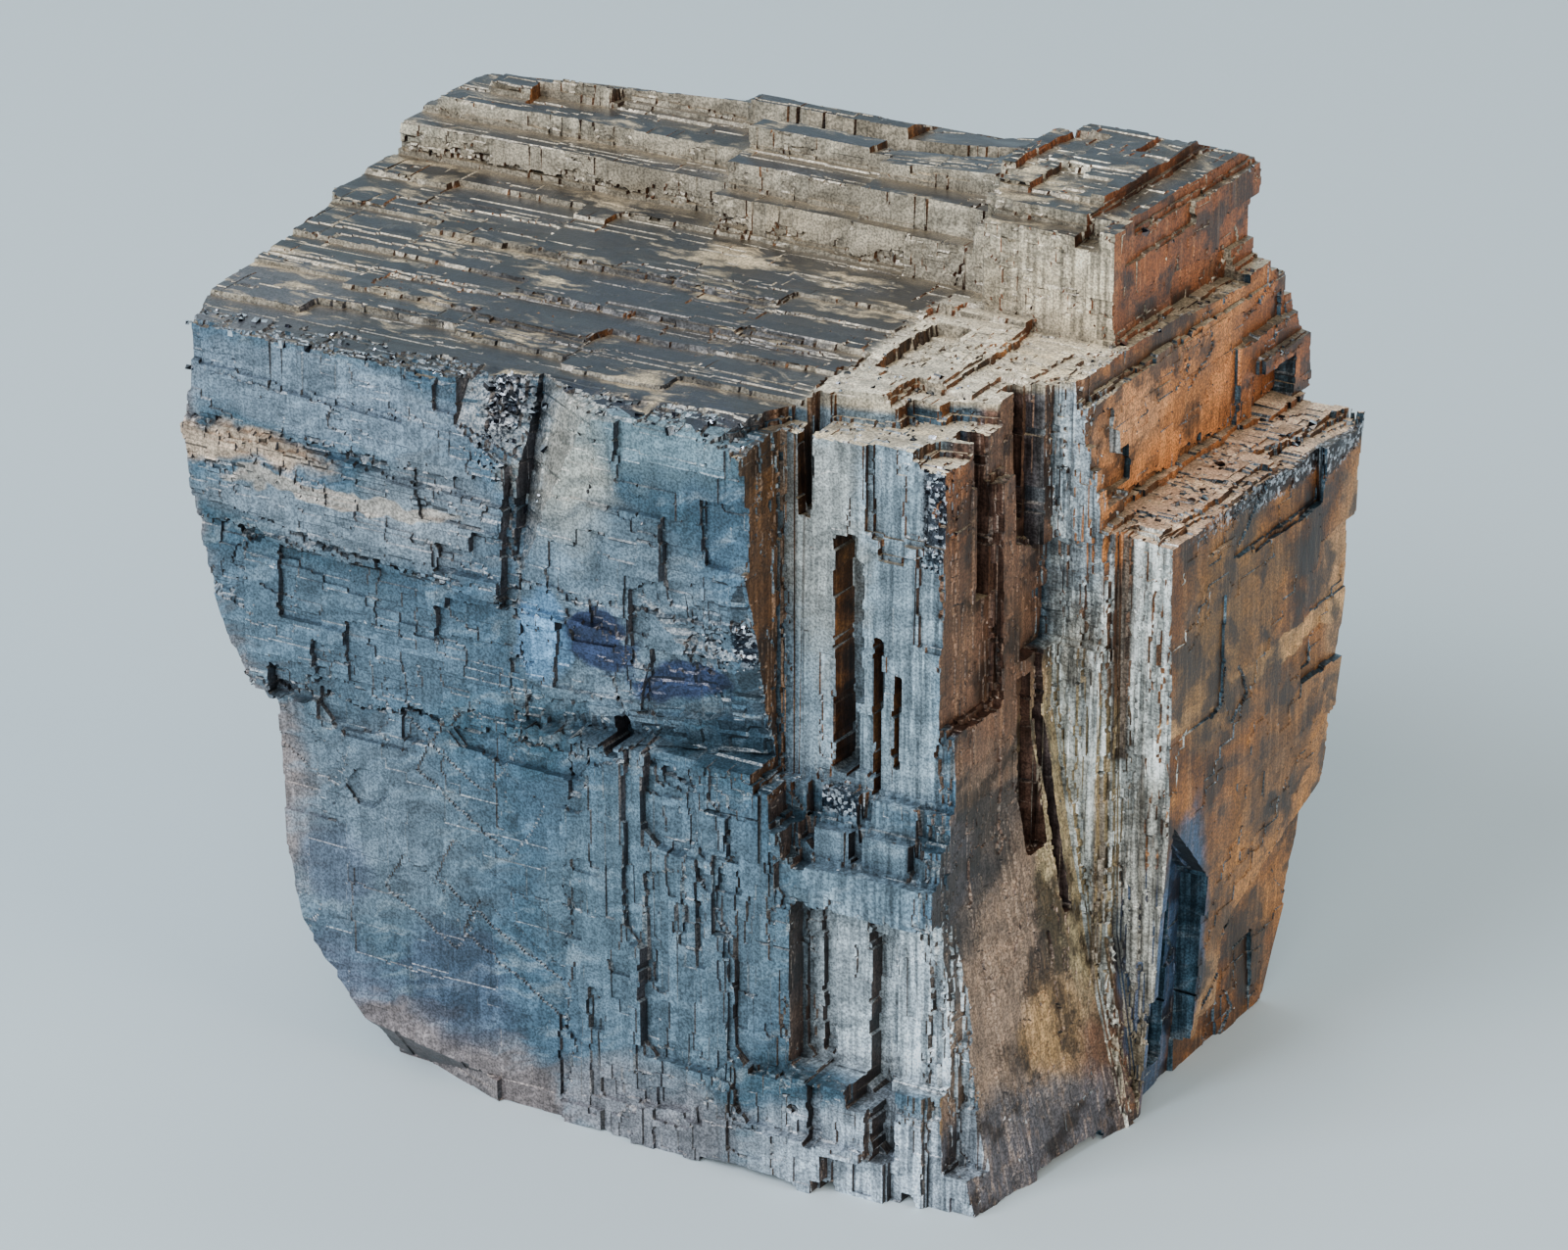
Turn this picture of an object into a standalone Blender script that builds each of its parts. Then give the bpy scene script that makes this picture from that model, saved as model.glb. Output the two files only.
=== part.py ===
"""Galena cleavage specimen, one solid of stepped cubic cleavage.

The lump is a block of galena broken from a vein.  Galena splits along three planes at right
angles, so every face is a flight of flat plates, ledges and straight sided recesses, and only
the lower left, the lower back and the crushed edges are broken across the cleavage.

Lengths in the tables are millimetres from the foot corner, the bottom corner where the front
and the right face meet: X runs to the right, Y to the back and Z up.  The finished solid has
its origin under the middle of its box, on the plane that it rests on.
"""

import random

import bpy

MM = 0.001

# Overall size of the specimen.
LEFT, RIGHT = -79.0, 6.0
FRONT, BACK = -3.4, 59.4
HEIGHT = 75.5

# Main levels that several tables share.
TERRACE = 66.3  # wide stepped top
PILLAR_TOP = 63.0  # small terrace above the recessed pillar
SHOULDER = 52.2  # top of the lower right block
PILLAR_FRONT = 3.8  # front plane of the recessed pillar
STRIP_LEFT = -20.2  # wall between the main plate and the pillar
COLUMN_BACK = 20.2  # front plane of the first strip right of the column
STRIP_BACK = 22.2  # front plane of the second strip

OUTSIDE = 6.0  # how far a cutter reaches past the block
EDGE_PLAY = 0.25  # how far the corners of a lost flake wander from square
FLAKE_OVERRUN = 0.6  # how far a lost flake reaches past the edge of its plate

SEED = 20260

# Each face: the axis a cutter goes in along, the side it comes from, and the two axes of its
# outline.
FACES = {
    "front": (1, -1, (0, 2)),
    "back": (1, 1, (0, 2)),
    "right": (0, 1, (1, 2)),
    "left": (0, -1, (1, 2)),
    "top": (2, 1, (0, 1)),
    "bottom": (2, -1, (0, 1)),
}
LOWEST = (LEFT, FRONT, 0.0)
HIGHEST = (RIGHT, BACK, HEIGHT)


def rect(u_low, u_high, v_low, v_high):
    """Outline of a square plate, anticlockwise from its low corner."""
    return ((u_low, v_low), (u_high, v_low), (u_high, v_high), (u_low, v_high))


# Cuts: outline in the face's two axes, then the level it goes in to, one number for a flat
# floor or one for each corner of the outline.
TOP_CUTS = (
    # Back ridge, left end: three long risers and a rounded end.
    (rect(-90, -45, -9, 37.2), TERRACE),
    (rect(-90, -45, -9, 40.4), 69.3),
    (rect(-90, -45, -9, 43.8), 71.0),
    (rect(-90, -56.5, -9, 60), 72.4),
    (rect(-90, -68.0, -9, 60), 71.9),
    (rect(-90, -73.6, -9, 60), 71.1),
    (rect(-90, -76.6, -9, 60), 70.0),
    (rect(-90, -50, 46, 60), (70.4, 73.4, 68.2, 66.0)),
    # Back ridge, middle.
    (rect(-47, -31, -9, 34.0), TERRACE),
    (rect(-47, -31, -9, 36.6), 69.2),
    (rect(-52, -31, -9, 40.2), 71.5),
    (rect(-57, -31, -9, 60), 73.4),
    (rect(-57, -48.6, 41, 60), 72.6),
    (rect(-50, -26, 47, 60), (73.9, 73.8, 69.1, 69.3)),
    # Back ridge, right of the middle.
    (rect(-33, -16.2, -9, 31.6), TERRACE),
    (rect(-33, -18.6, -9, 34.6), 69.3),
    (rect(-33, -17.4, -9, 38.2), 72.0),
    (((-33, 37), (-19.5, 37), (-19.5, 60), (-33, 60)), (73.2, 74.2, 73.0, 71.4)),
    (rect(-19.6, -16.2, -9, 30.2), 70.1),
    (rect(-26.4, -18, 48, 60), (73.4, 74.9, 71.2, 69.0)),
    # Top block.
    (rect(-17.5, 12, -9, 28.8), 65.9),
    (rect(-17.5, -7.4, -9, 30.9), 73.5),
    (rect(-17.5, -7.4, -9, 33.8), 74.7),
    (rect(-7.5, 12, -9, 60), 74.3),
    (rect(-7.5, -5.8, 24, 31.5), 72.6),
    (rect(-18.2, 12, 50.4, 60), (75.4, 74.8, 71.4, 71.8)),
    # Terraces that step down to the pillar corner.
    (rect(-19.6, 12, -9, 27.5), 65.5),
    (rect(-11.2, 12, -9, 28.8), 64.9),
    (rect(-3.9, 12, -9, 60), 64.9),
    (((-26, -9), (-17.6, -9), (-17.6, 6.2), (-20.4, 6.2)), PILLAR_TOP),
    (((-17.8, -9), (-12.4, -9), (-12.4, 9.0), (-17.8, 7.8)), PILLAR_TOP),
    (((-12.6, -9), (-9.8, -9), (-9.8, 11.2), (-12.6, 11.2)), PILLAR_TOP),
    (((-10.0, -9), (9, -9), (9, 19.0), (-10.0, 12.6)), PILLAR_TOP),
    (((-8.6, -9), (9, -9), (9, 13.0), (-8.6, 8.0)), 61.8),
    # Front edge, crushed back beside the wedge.
    (((-46.5, -9), (-35.5, -9), (-35.5, 3.4), (-46.5, 4.4)), (61.6, 61.8, 64.3, 64.6)),
    (((-36, -9), (-24, -9), (-24, 1.8), (-36, 3.0)), (62.2, 62.3, 64.3, 64.3)),
    (((-24.4, -9), (-18, -9), (-18, 4.0), (-24.4, 1.8)), (61.6, 60.6, 64.0, 64.3)),
    # Shoulder of the lower right block.
    (rect(-0.4, 9, 18, 60), SHOULDER),
    (((3.0, 18), (9, 18), (9, 31.5), (4.2, 30)), 51.4),
    (((4.4, 29), (9, 29), (9, 44), (4.4, 44)), 51.7),
    (((1.8, 43.5), (9, 43.5), (9, 49), (3.2, 49)), 51.2),
    (rect(0.6, 9, 10, STRIP_BACK + 1.2), 51.6),
)

FRONT_CUTS = (
    # Upper left plate, above and below its proud band.
    (((-90, 57.0), (-41.6, 53.6), (-41.6, 70), (-90, 70)), -2.7),
    (((-90, 61.4), (-52, 59.4), (-52, 70), (-90, 70)), -2.2),
    (((-90, 20), (-41.6, 20), (-41.6, 45.6), (-90, 51.2)), -2.8),
    (rect(-64.5, -50, 39.8, 46.0), -2.3),
    (((-58, 33), (-41.6, 34.4), (-41.6, 41.6), (-58, 40.6)), -2.0),
    (((-90, 28), (-68, 28), (-68, 47), (-90, 48)), -1.9),
    # Plate between the wedge and the strip, and the wedge itself.
    (rect(-41.6, -17, 42.0, 70), -2.5),
    (((-41.4, 45.2), (-32.6, 45.2), (-32.6, 66), (-41.4, 66)), (-2.7, -2.5, -2.5, 2.9)),
    (((-46.8, 60.0), (-41.2, 57.0), (-41.2, 66), (-46.8, 66)), (-2.4, -1.0, 2.9, 1.0)),
    (rect(-38.5, -20, 55.6, 59.6), -2.0),
    (rect(-27.6, -20, 49.6, 55.8), -1.7),
    (rect(-24.2, -20, 52.4, 58.0), -1.2),
    # Lean below the plate, with two broken facets.
    (((-41.6, 35.4), (-20, 35.4), (-20, 44.0), (-41.6, 44.0)), (-2.0, 2.9, 0.2, -2.4)),
    (((-31.0, 35), (-20, 35), (-20, 53), (-31.0, 49)), (-1.0, 3.1, -1.9, -1.9)),
    (((-38.6, 38.8), (-31.4, 38.6), (-31.4, 43.4), (-37.6, 44.8)), (-1.4, -0.3, -0.8, -1.7)),
    (((-31.0, 37.6), (-23.2, 38.2), (-23.2, 42.4), (-29.6, 43.6)), (0.2, 2.4, 0.9, -0.6)),
    # Long ledge at mid height and the dark gaps under it.
    (((-90, 2), (-31, 2), (-31, 34.9), (-90, 29.9)), -2.2),
    (((-61.0, 30.2), (-52.4, 30.8), (-52.4, 33.6), (-61.0, 32.8)), -1.0),
    (((-61.4, 30.8), (-59.4, 30.8), (-59.4, 33.8), (-61.4, 33.5)), 2.4),
    (((-53.2, 30.8), (-50.9, 31.0), (-50.9, 34.0), (-53.2, 33.8)), 2.2),
    (rect(-44.1, -43.3, 25.0, 34.6), -0.9),
    (rect(-33.3, -32.0, 34.2, 37.0), 1.6),
    # Lower front.
    (((-31.4, 18.0), (9, 18.0), (9, 36.5), (-31.4, 35.2)), -1.7),
    (((-29.8, 8.0), (-22.0, 8.0), (-22.0, 27.0), (-29.8, 24.0)), -1.6),
    (((-90, 6.4), (9, 8.0), (9, 20.0), (-90, 15.0)), -2.6),
    (((-90, -5), (9, -5), (9, 8.4), (-90, 6.8)), -3.0),
    (rect(-66, -43, -5, 4.0), (5.4, -3.2, -3.2, -1.5)),
    (rect(-29.6, -28.9, 14.5, 24.4), -0.6),
    (rect(-25.0, -24.2, 17.0, 27.6), -0.6),
    (rect(-21.6, -20.6, 12.2, 26.2), -0.2),
    (rect(-18.7, -18.2, 19.0, 28.4), -0.4),
    (rect(-34.9, -34.1, 3.0, 12.0), -1.7),
    (rect(-38.2, -37.4, 2.0, 9.4), -1.9),
    # Recessed pillar, its slots and its foot.
    (rect(STRIP_LEFT, 9, 33.8, 80), PILLAR_FRONT),
    (rect(-12.4, 9, 55.4, 80), PILLAR_FRONT + 0.8),
    (rect(-18.9, -17.7, 56.2, 80), 7.3),
    (rect(-15.3, -13.5, 34.6, 55.0), 6.7),
    (rect(-13.6, -12.9, 41.0, 53.0), 5.2),
    (rect(-11.6, -11.1, 33.4, 47.0), 5.1),
    (rect(-9.9, -9.4, 36.0, 44.0), 4.8),
    (rect(-18.6, 9, 30.9, 34.4), 2.5),
    (rect(-17.4, 9, 27.9, 31.2), 1.2),
    (rect(-16.9, -15.9, 27.2, 34.4), 3.9),
    (rect(-12.2, -11.4, 28.2, 34.4), 3.6),
    (rect(-6.9, -6.3, 28.2, 34.4), 3.3),
    (rect(-18.0, 9, 24.0, 28.2), -0.3),
    # Lower recess with its standing plates.
    (rect(-16.6, 9, 10.0, 24.2), 1.9),
    (rect(-15.0, -14.1, 10.6, 23.6), 2.9),
    (rect(-10.6, -8.2, 8.2, 23.8), 3.4),
    (rect(-9.4, -8.6, 8.2, 23.2), 2.6),
    (rect(-7.4, 9, -5, 10.2), -0.7),
    (rect(-12.4, 9, -5, 3.8), -1.5),
    (rect(-4.4, 9, -5, 12.0), 0.0),
    (rect(-8.9, -7.0, 3.6, 10.4), 1.0),
    (rect(-14.2, -13.0, 4.4, 9.2), -0.9),
    (rect(-21.2, -8.6, 4.6, 9.3), -2.2),
    (rect(-13.3, -12.2, -5, 1.0), 0.6),
    (rect(-6.4, -5.2, -5, 0.9), 1.2),
)

RIGHT_CUTS = (
    # Column beside the pillar, leaning out to its foot.
    (rect(-9, COLUMN_BACK, -5, 12.0), (-0.5, 4.6, 0.5, -4.0)),
    (rect(-9, COLUMN_BACK, 12.0, 37.0), (-4.0, 0.5, -4.1, -4.2)),
    (((-9, 36.5), (COLUMN_BACK, 36.5), (COLUMN_BACK, 80), (-9, 80)), (-4.2, -4.2, -4.8, -6.0)),
    (rect(-9, 2.8, 3.2, 24.4), (-3.0, -3.0, -3.7, -3.7)),
    (rect(-9, 3.9, 14.0, 24.4), (-3.2, -3.2, -4.2, -4.2)),
    (rect(-9, 11.6, 40.0, 80), (-5.6, -5.4, -5.6, -6.2)),
    (rect(9.2, 11.0, 49.5, 80), -7.8),
    (((13.8, 53.0), (18.6, 51.0), (18.6, 80), (13.8, 80)), -6.2),
    (rect(16.6, 18.0, 53.5, 80), -7.6),
    (rect(14.0, 16.6, 26.0, 41.0), -5.2),
    (rect(17.4, 18.3, 20.0, 44.5), -5.7),
    # First strip and the thin wall behind it.
    (rect(-9, STRIP_BACK, 17.0, 52.6), (0.9, 0.9, 0.5, 0.5)),
    (rect(-9, STRIP_BACK, -5, 17.2), (4.4, 4.4, 0.9, 0.9)),
    (rect(-9, COLUMN_BACK + 1.1, 18.0, 52.6), (0.1, 0.1, -0.2, -0.2)),
    # Lower right block.
    (rect(STRIP_BACK - 4, 56, 26.0, 60), (5.3, 6.0, 6.0, 4.9)),
    (rect(STRIP_BACK - 4, 60, -5, 26.0), (3.5, 2.6, 6.0, 5.3)),
    (((21, -5), (60, -5), (60, 30.0), (21, 10.0)), (3.3, 2.2, 5.6, 4.2)),
    (((36, -5), (60, -5), (60, 21.0), (36, 13.0)), (2.3, 2.3, 3.8, 3.0)),
    (((23.4, -5), (31.0, -5), (31.0, 19.0), (23.4, 26.4)), (2.0, 1.6, 2.6, 3.6)),
    (((25.4, 2.5), (28.8, 2.5), (28.8, 17.0), (25.4, 20.0)), (0.9, 0.7, 1.5, 2.4)),
    # Big face of the upper right block, stepping out to its foot.
    (rect(STRIP_BACK - 6, 60, SHOULDER, 90), 0.5),
    (rect(STRIP_BACK - 6, 60, 54.0, 90), -0.1),
    (rect(STRIP_BACK - 6, 50, 55.6, 90), -0.7),
    (rect(37.0, 50, SHOULDER, 90), -0.7),
    (rect(STRIP_BACK - 6, 60, 57.5, 90), -1.2),
    (rect(30.5, 50, SHOULDER, 90), -1.2),
    (rect(STRIP_BACK - 6, 60, 59.3, 90), -1.8),
    (rect(25.5, 47, SHOULDER, 90), -1.7),
    (((STRIP_BACK - 6, 62.6), (60, 62.9), (60, 90), (STRIP_BACK - 6, 90)), (-3.0, -1.8, -1.8, -3.0)),
    (rect(10, 60, 65.6, 90), (-4.1, -3.9, -3.9, -4.1)),
    (rect(33.0, 60, 73.0, 90), (-4.9, -4.7, -4.7, -4.9)),
)

LEFT_CUTS = (
    (rect(-9, 3.6, 56, 90), (-70.5, -75.6, -76.2, -70.2)),
    (rect(3.6, 13, 56, 90), (-75.6, -76.2, -76.6, -76.2)),
    (rect(13, 27, 56, 90), (-76.2, -78.0, -79.0, -76.4)),
    (rect(34, 62, 67.2, 90), (-79.0, -79.0, -74.0, -74.0)),
    (rect(36, 62, 50, 67.4), (-79.0, -75.0, -77.4, -79.0)),
    (rect(-9, 62, 42.0, 57.0), (-71.9, -77.0, -79.0, -73.0)),
    (rect(-9, 62, 32.2, 42.4), (-68.6, -73.4, -77.0, -71.9)),
    (rect(24, 62, 44.0, 57.0), -74.2),
    (rect(-9, 62, 17.5, 32.4), (-66.0, -65.0, -67.4, -66.1)),
    (rect(33, 62, 20.0, 47.0), -67.6),
    (rect(-9, 62, 11.6, 17.8), (-64.9, -62.4, -65.2, -66.0)),
    (rect(-9, 62, 8.2, 12.0), (-61.6, -59.6, -62.6, -65.0)),
    (rect(-9, 62, 3.6, 8.4), (-57.2, -57.6, -60.0, -61.7)),
    (rect(-9, 62, -5, 3.8), (-56.5, -54.0, -57.4, -57.4)),
)

BACK_CUTS = (
    (rect(-90, 12, -5, 13.0), (45.0, 45.6, 53.0, 51.0)),
    (rect(-90, 12, 13.0, 27.0), (51.0, 53.0, 54.2, 53.4)),
    (rect(-90, 12, 26.6, 38.0), (53.4, 54.2, 56.2, 55.2)),
    (rect(-90, 12, 37.6, SHOULDER), (55.4, 56.2, 57.0, 56.0)),
    (rect(-90, 12, 57.5, 90), 58.8),
    (rect(-90, 12, 60.5, 90), 57.5),
    (rect(-90, 12, 63.3, 90), 55.1),
    (rect(-90, -60, -5, 90), 52.6),
    (rect(-90, -66, 20, 62), 49.0),
    (rect(-90, -12, 50, 90), 56.0),
    (rect(-90, -44, 56, 90), 54.6),
    (rect(-48, -30, 30, 64), 53.6),
    (rect(-40, -26, 14, 34), 49.4),
    (rect(-62, -52, 26, 48), 51.0),
    (rect(-20, -16.5, 6, 30), 46.2),
)

BOTTOM_CUTS = (
    (rect(-42, -33, 32, 60), 1.2),
    (rect(-24, -15, -9, 5), 0.5),
    (rect(-36, -20, 33, 39), 0.7),
    (rect(-9, 1, 30, 37), 0.6),
    (rect(-30, -26, 12, 22), 0.8),
)

# Thin flakes lost from the edges of the plates: face, plate, the edges that they come off
# (L and R end the outline's first axis, B and T its second), the plate's level, how many, the
# deepest share of the plate that one takes, and the thinnest and thickest.
FLAKES = (
    ("front", rect(-75, -41.6, 57, 66), "TR", -2.6, 4, 0.4, (0.25, 0.6)),
    ("front", rect(-75, -41.6, 47, 56), "R", FRONT, 3, 0.3, (0.3, 0.7)),
    ("front", rect(-72, -41.6, 34.8, 46), "BR", -2.8, 6, 0.4, (0.3, 0.8)),
    ("front", rect(-41.6, -20.2, 45, 66), "TRL", -2.5, 8, 0.4, (0.3, 0.7)),
    ("front", rect(-67, -31, 18, 34.4), "TL", -2.2, 6, 0.35, (0.25, 0.7)),
    ("front", rect(-58, -22, 0, 8.2), "BT", -3.0, 6, 0.7, (0.3, 0.8)),
    ("front", rect(-58, -30, 8, 19), "LT", -2.6, 4, 0.5, (0.25, 0.6)),
    ("front", rect(-31, -16.6, 9, 35), "TR", -1.7, 7, 0.5, (0.4, 0.9)),
    ("front", rect(-13.4, -5, 34, 63), "TRL", PILLAR_FRONT, 6, 0.35, (0.3, 0.8)),
    ("right", rect(3.8, 20.2, 40, 63.5), "LRT", -4.8, 8, 0.35, (0.4, 1.1)),
    ("right", rect(22.2, 56.5, 24, 52.2), "LRT", 5.7, 7, 0.3, (0.3, 0.7)),
    ("right", rect(25, 50, 0, 18), "B", 2.8, 3, 0.6, (0.3, 0.6)),
    ("right", rect(22.2, 55, 52.2, 62.6), "LR", -1.8, 4, 0.3, (0.25, 0.6)),
    ("right", rect(28.8, 55, 65, 74.3), "TRB", -4.0, 4, 0.35, (0.25, 0.5)),
    ("top", rect(-78, -20, 28, 37.2), "B", TERRACE, 6, 0.6, (0.2, 0.6)),
    ("top", rect(-17.6, -4, 9, 28.8), "BRL", 65.0, 5, 0.4, (0.2, 0.5)),
    ("top", rect(-17.5, -7.4, 33.8, 52), "LBT", HEIGHT, 5, 0.35, (0.3, 0.7)),
    ("top", rect(-76, -22, 43.8, 54), "BT", 71.8, 7, 0.5, (0.5, 1.2)),
    ("top", rect(0.6, 6, 22.2, 57), "R", SHOULDER, 6, 0.6, (0.4, 1.0)),
    ("back", rect(-79, -14, 36, 72), "LRT", 55.2, 9, 0.4, (0.5, 1.8)),
    ("back", rect(-60, 0, 0, 34), "LRB", 52.0, 7, 0.4, (0.5, 1.8)),
    ("left", rect(2, 54, 34, 58), "LRB", -75.0, 7, 0.5, (0.4, 1.4)),
    ("left", rect(2, 50, 12, 33), "LRB", -66.0, 6, 0.5, (0.5, 1.5)),
    ("bottom", rect(-46, 2, 0, 44), "LRT", 0.0, 4, 0.3, (0.3, 0.8)),
)

# Flight of long treads that brings the wide top down towards the front: where each tread
# starts, and how far below the terrace it lies.
TREADS = ((30.5, 0.45), (24.0, 0.9), (17.0, 1.35), (10.5, 1.75), (4.6, 2.2))
TREAD_RUNS = (-90.0, -66.0, -52.5, -41.0, -31.0, -19.6)
TREAD_PLAY = 2.2


def foot_to_part(point):
    """The point's place in the part's frame, in metres."""
    middle_x = (LEFT + RIGHT) / 2
    middle_y = (FRONT + BACK) / 2
    return ((point[0] - middle_x) * MM, (point[1] - middle_y) * MM, point[2] * MM)


def clear_scene():
    """Remove the objects that the scene starts with."""
    for obj in list(bpy.data.objects):
        bpy.data.objects.remove(obj, do_unlink=True)


def new_collection(name):
    """A collection of that name, linked to the scene."""
    collection = bpy.data.collections.new(name)
    bpy.context.scene.collection.children.link(collection)
    return collection


def add_cube(name, collection):
    """A cube from the primitive, moved to the collection."""
    bpy.ops.mesh.primitive_cube_add(size=1.0)
    cube = bpy.context.object
    cube.name = name
    for owner in list(cube.users_collection):
        owner.objects.unlink(cube)
    collection.objects.link(cube)
    return cube


def corner_index(signs):
    """Number of an outline corner, anticlockwise from the low one, from its two signs."""
    return {(-1, -1): 0, (1, -1): 1, (1, 1): 2, (-1, 1): 3}[signs]


def add_cutter(name, face, outline, level, collection):
    """A cube shaped to the outline, from outside the face down to the level."""
    axis, side, (u_axis, v_axis) = FACES[face]
    levels = level if isinstance(level, tuple) else (level,) * len(outline)
    outer = (HIGHEST if side > 0 else LOWEST)[axis] + side * OUTSIDE
    cutter = add_cube(name, collection)
    for vertex in cutter.data.vertices:
        signs = [1 if value > 0 else -1 for value in vertex.co]
        corner = corner_index((signs[u_axis], signs[v_axis]))
        point = [0.0, 0.0, 0.0]
        point[u_axis], point[v_axis] = outline[corner]
        point[axis] = outer if signs[axis] == side else levels[corner]
        vertex.co = foot_to_part(point)
    cutter.hide_render = True
    cutter.display_type = "WIRE"
    return cutter


def add_named_cuts(collection):
    """The cutters of every face's table."""
    tables = {
        "top": TOP_CUTS,
        "front": FRONT_CUTS,
        "right": RIGHT_CUTS,
        "left": LEFT_CUTS,
        "back": BACK_CUTS,
        "bottom": BOTTOM_CUTS,
    }
    for face, cuts in tables.items():
        for number, (outline, level) in enumerate(cuts):
            add_cutter(f"{face}_cut_{number:02d}", face, outline, level, collection)


def add_treads(collection, draw):
    """Long treads across the wide top, each run's front edge a little off its neighbours'."""
    runs = list(zip(TREAD_RUNS, TREAD_RUNS[1:]))
    for row, (start, drop) in enumerate(TREADS):
        for number, (x_low, x_high) in enumerate(runs):
            edge = start + draw.uniform(-TREAD_PLAY, TREAD_PLAY)
            slant = draw.uniform(-0.6, 0.6)
            level = TERRACE - drop + draw.uniform(-0.08, 0.08)
            outline = ((x_low - 0.2, -9), (x_high, -9), (x_high, edge + slant), (x_low - 0.2, edge))
            add_cutter(f"tread_{row}_{number}", "top", outline, level, collection)


def flake_outline(region, side, share, draw):
    """Outline of a flake lost from one side of the region, its corners a little off square."""
    (u_low, v_low), _, (u_high, v_high), _ = region
    spans = [[u_low, u_high], [v_low, v_high]]
    across = 0 if side in "LR" else 1
    along = 1 - across
    low, high = spans[across]
    depth = draw.uniform(0.3, 1.0) * share * (high - low)
    if side in "LB":
        spans[across] = [low - FLAKE_OVERRUN, low + depth]
    else:
        spans[across] = [high - depth, high + FLAKE_OVERRUN]
    run = spans[along][1] - spans[along][0]
    length = draw.uniform(0.15, 0.5) * run
    start = spans[along][0] + draw.uniform(0.0, run - length)
    spans[along] = [start, start + length]
    corners = []
    for u, v in rect(*spans[0], *spans[1]):
        shift_u = draw.uniform(-EDGE_PLAY, EDGE_PLAY)
        shift_v = draw.uniform(-EDGE_PLAY, EDGE_PLAY)
        corners.append((u + shift_u, v + shift_v))
    return tuple(corners)


def add_flakes(collection, draw):
    """Thin flakes with nearly square outlines, lost from the edges of the plates."""
    for row, (face, region, sides, plate, count, share, thickness) in enumerate(FLAKES):
        inward = -FACES[face][1]
        for number in range(count):
            outline = flake_outline(region, draw.choice(sides), share, draw)
            level = plate + inward * draw.uniform(*thickness)
            add_cutter(f"flake_{row:02d}_{number:02d}", face, outline, level, collection)


def add_block(collection):
    """The uncut block, as large as the specimen's box."""
    block = add_cube("galena", collection)
    for vertex in block.data.vertices:
        point = [HIGHEST[i] if vertex.co[i] > 0 else LOWEST[i] for i in range(3)]
        vertex.co = foot_to_part(point)
    return block


def galena_material():
    """Lead grey metallic sulphide, dulled by its tarnish."""
    material = bpy.data.materials.new("galena")
    material.use_nodes = True
    shader = material.node_tree.nodes["Principled BSDF"]
    shader.inputs["Base Color"].default_value = (0.19, 0.22, 0.27, 1.0)
    shader.inputs["Metallic"].default_value = 0.7
    shader.inputs["Roughness"].default_value = 0.45
    return material


def main():
    """Build the specimen."""
    clear_scene()
    parts = new_collection("galena_specimen")
    cutters = new_collection("galena_cutters")
    draw = random.Random(SEED)
    block = add_block(parts)
    add_named_cuts(cutters)
    add_treads(cutters, draw)
    add_flakes(cutters, draw)
    cleave = block.modifiers.new("cleave", "BOOLEAN")
    cleave.operation = "DIFFERENCE"
    cleave.operand_type = "COLLECTION"
    cleave.collection = cutters
    cleave.solver = "EXACT"
    block.data.materials.append(galena_material())


main()
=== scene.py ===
"""Galena cleavage specimen: fine cleavage, crushed edges and tarnish over the solid of the frame.

Galena is a soft lead sulphide that splits along three planes at right angles, so the lump is a
stack of thin plates.  The frame's solid has the main steps.  Here each of its six sides becomes
a cleavage sheet, a fine relief that only ever goes inwards, and the six sheets are cut to one
closed piece.  Small grown-on grains sit along the crushed edges.

Lengths in the tables are millimetres from the foot corner, the bottom corner where the front and
the right side meet: X to the right, Y to the back, Z up.
"""

import logging
import math
from collections.abc import Iterator
from contextlib import contextmanager
from dataclasses import dataclass
from enum import Enum

import bpy
import numpy as np
from mathutils import Matrix, Vector
from mathutils.bvhtree import BVHTree


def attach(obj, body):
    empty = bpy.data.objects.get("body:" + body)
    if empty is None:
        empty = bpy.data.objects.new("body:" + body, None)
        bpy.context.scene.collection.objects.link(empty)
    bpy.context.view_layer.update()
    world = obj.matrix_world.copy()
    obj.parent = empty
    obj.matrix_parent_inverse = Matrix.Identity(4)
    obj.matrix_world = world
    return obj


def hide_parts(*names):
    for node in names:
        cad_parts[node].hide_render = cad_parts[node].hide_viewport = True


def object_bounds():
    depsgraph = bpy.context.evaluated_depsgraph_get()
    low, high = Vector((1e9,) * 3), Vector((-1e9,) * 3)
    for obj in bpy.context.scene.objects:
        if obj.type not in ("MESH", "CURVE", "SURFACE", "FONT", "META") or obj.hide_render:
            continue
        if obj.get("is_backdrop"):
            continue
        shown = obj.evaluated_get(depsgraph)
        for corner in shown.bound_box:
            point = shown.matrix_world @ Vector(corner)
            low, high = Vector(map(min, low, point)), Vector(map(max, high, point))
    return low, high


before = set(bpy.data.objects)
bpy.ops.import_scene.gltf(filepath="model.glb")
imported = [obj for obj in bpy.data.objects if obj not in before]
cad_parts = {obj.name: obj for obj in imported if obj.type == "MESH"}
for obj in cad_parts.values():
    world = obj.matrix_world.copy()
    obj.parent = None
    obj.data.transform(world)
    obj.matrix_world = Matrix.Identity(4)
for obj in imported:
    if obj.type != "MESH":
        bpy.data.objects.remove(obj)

MM = 0.001
FOOT = (36.5, -28.0, 0.0)  # the foot corner in the part's frame, in millimetres
TRIANGLE_LIMIT = 192_000
GOLDEN = 0.618034  # the parts of its multiples after the point never fall together
TABLE = 1024  # random values along one side of a table, which wraps round
CLOUD_TABLE = 128
CELL_PRIMES = (73856093, 19349663, 83492791)  # they make one well mixed key of a cell's numbers
DOUBLES = 0.000004  # points nearer than this are one, in metres

log = logging.getLogger("galena")

Array = np.ndarray


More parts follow.
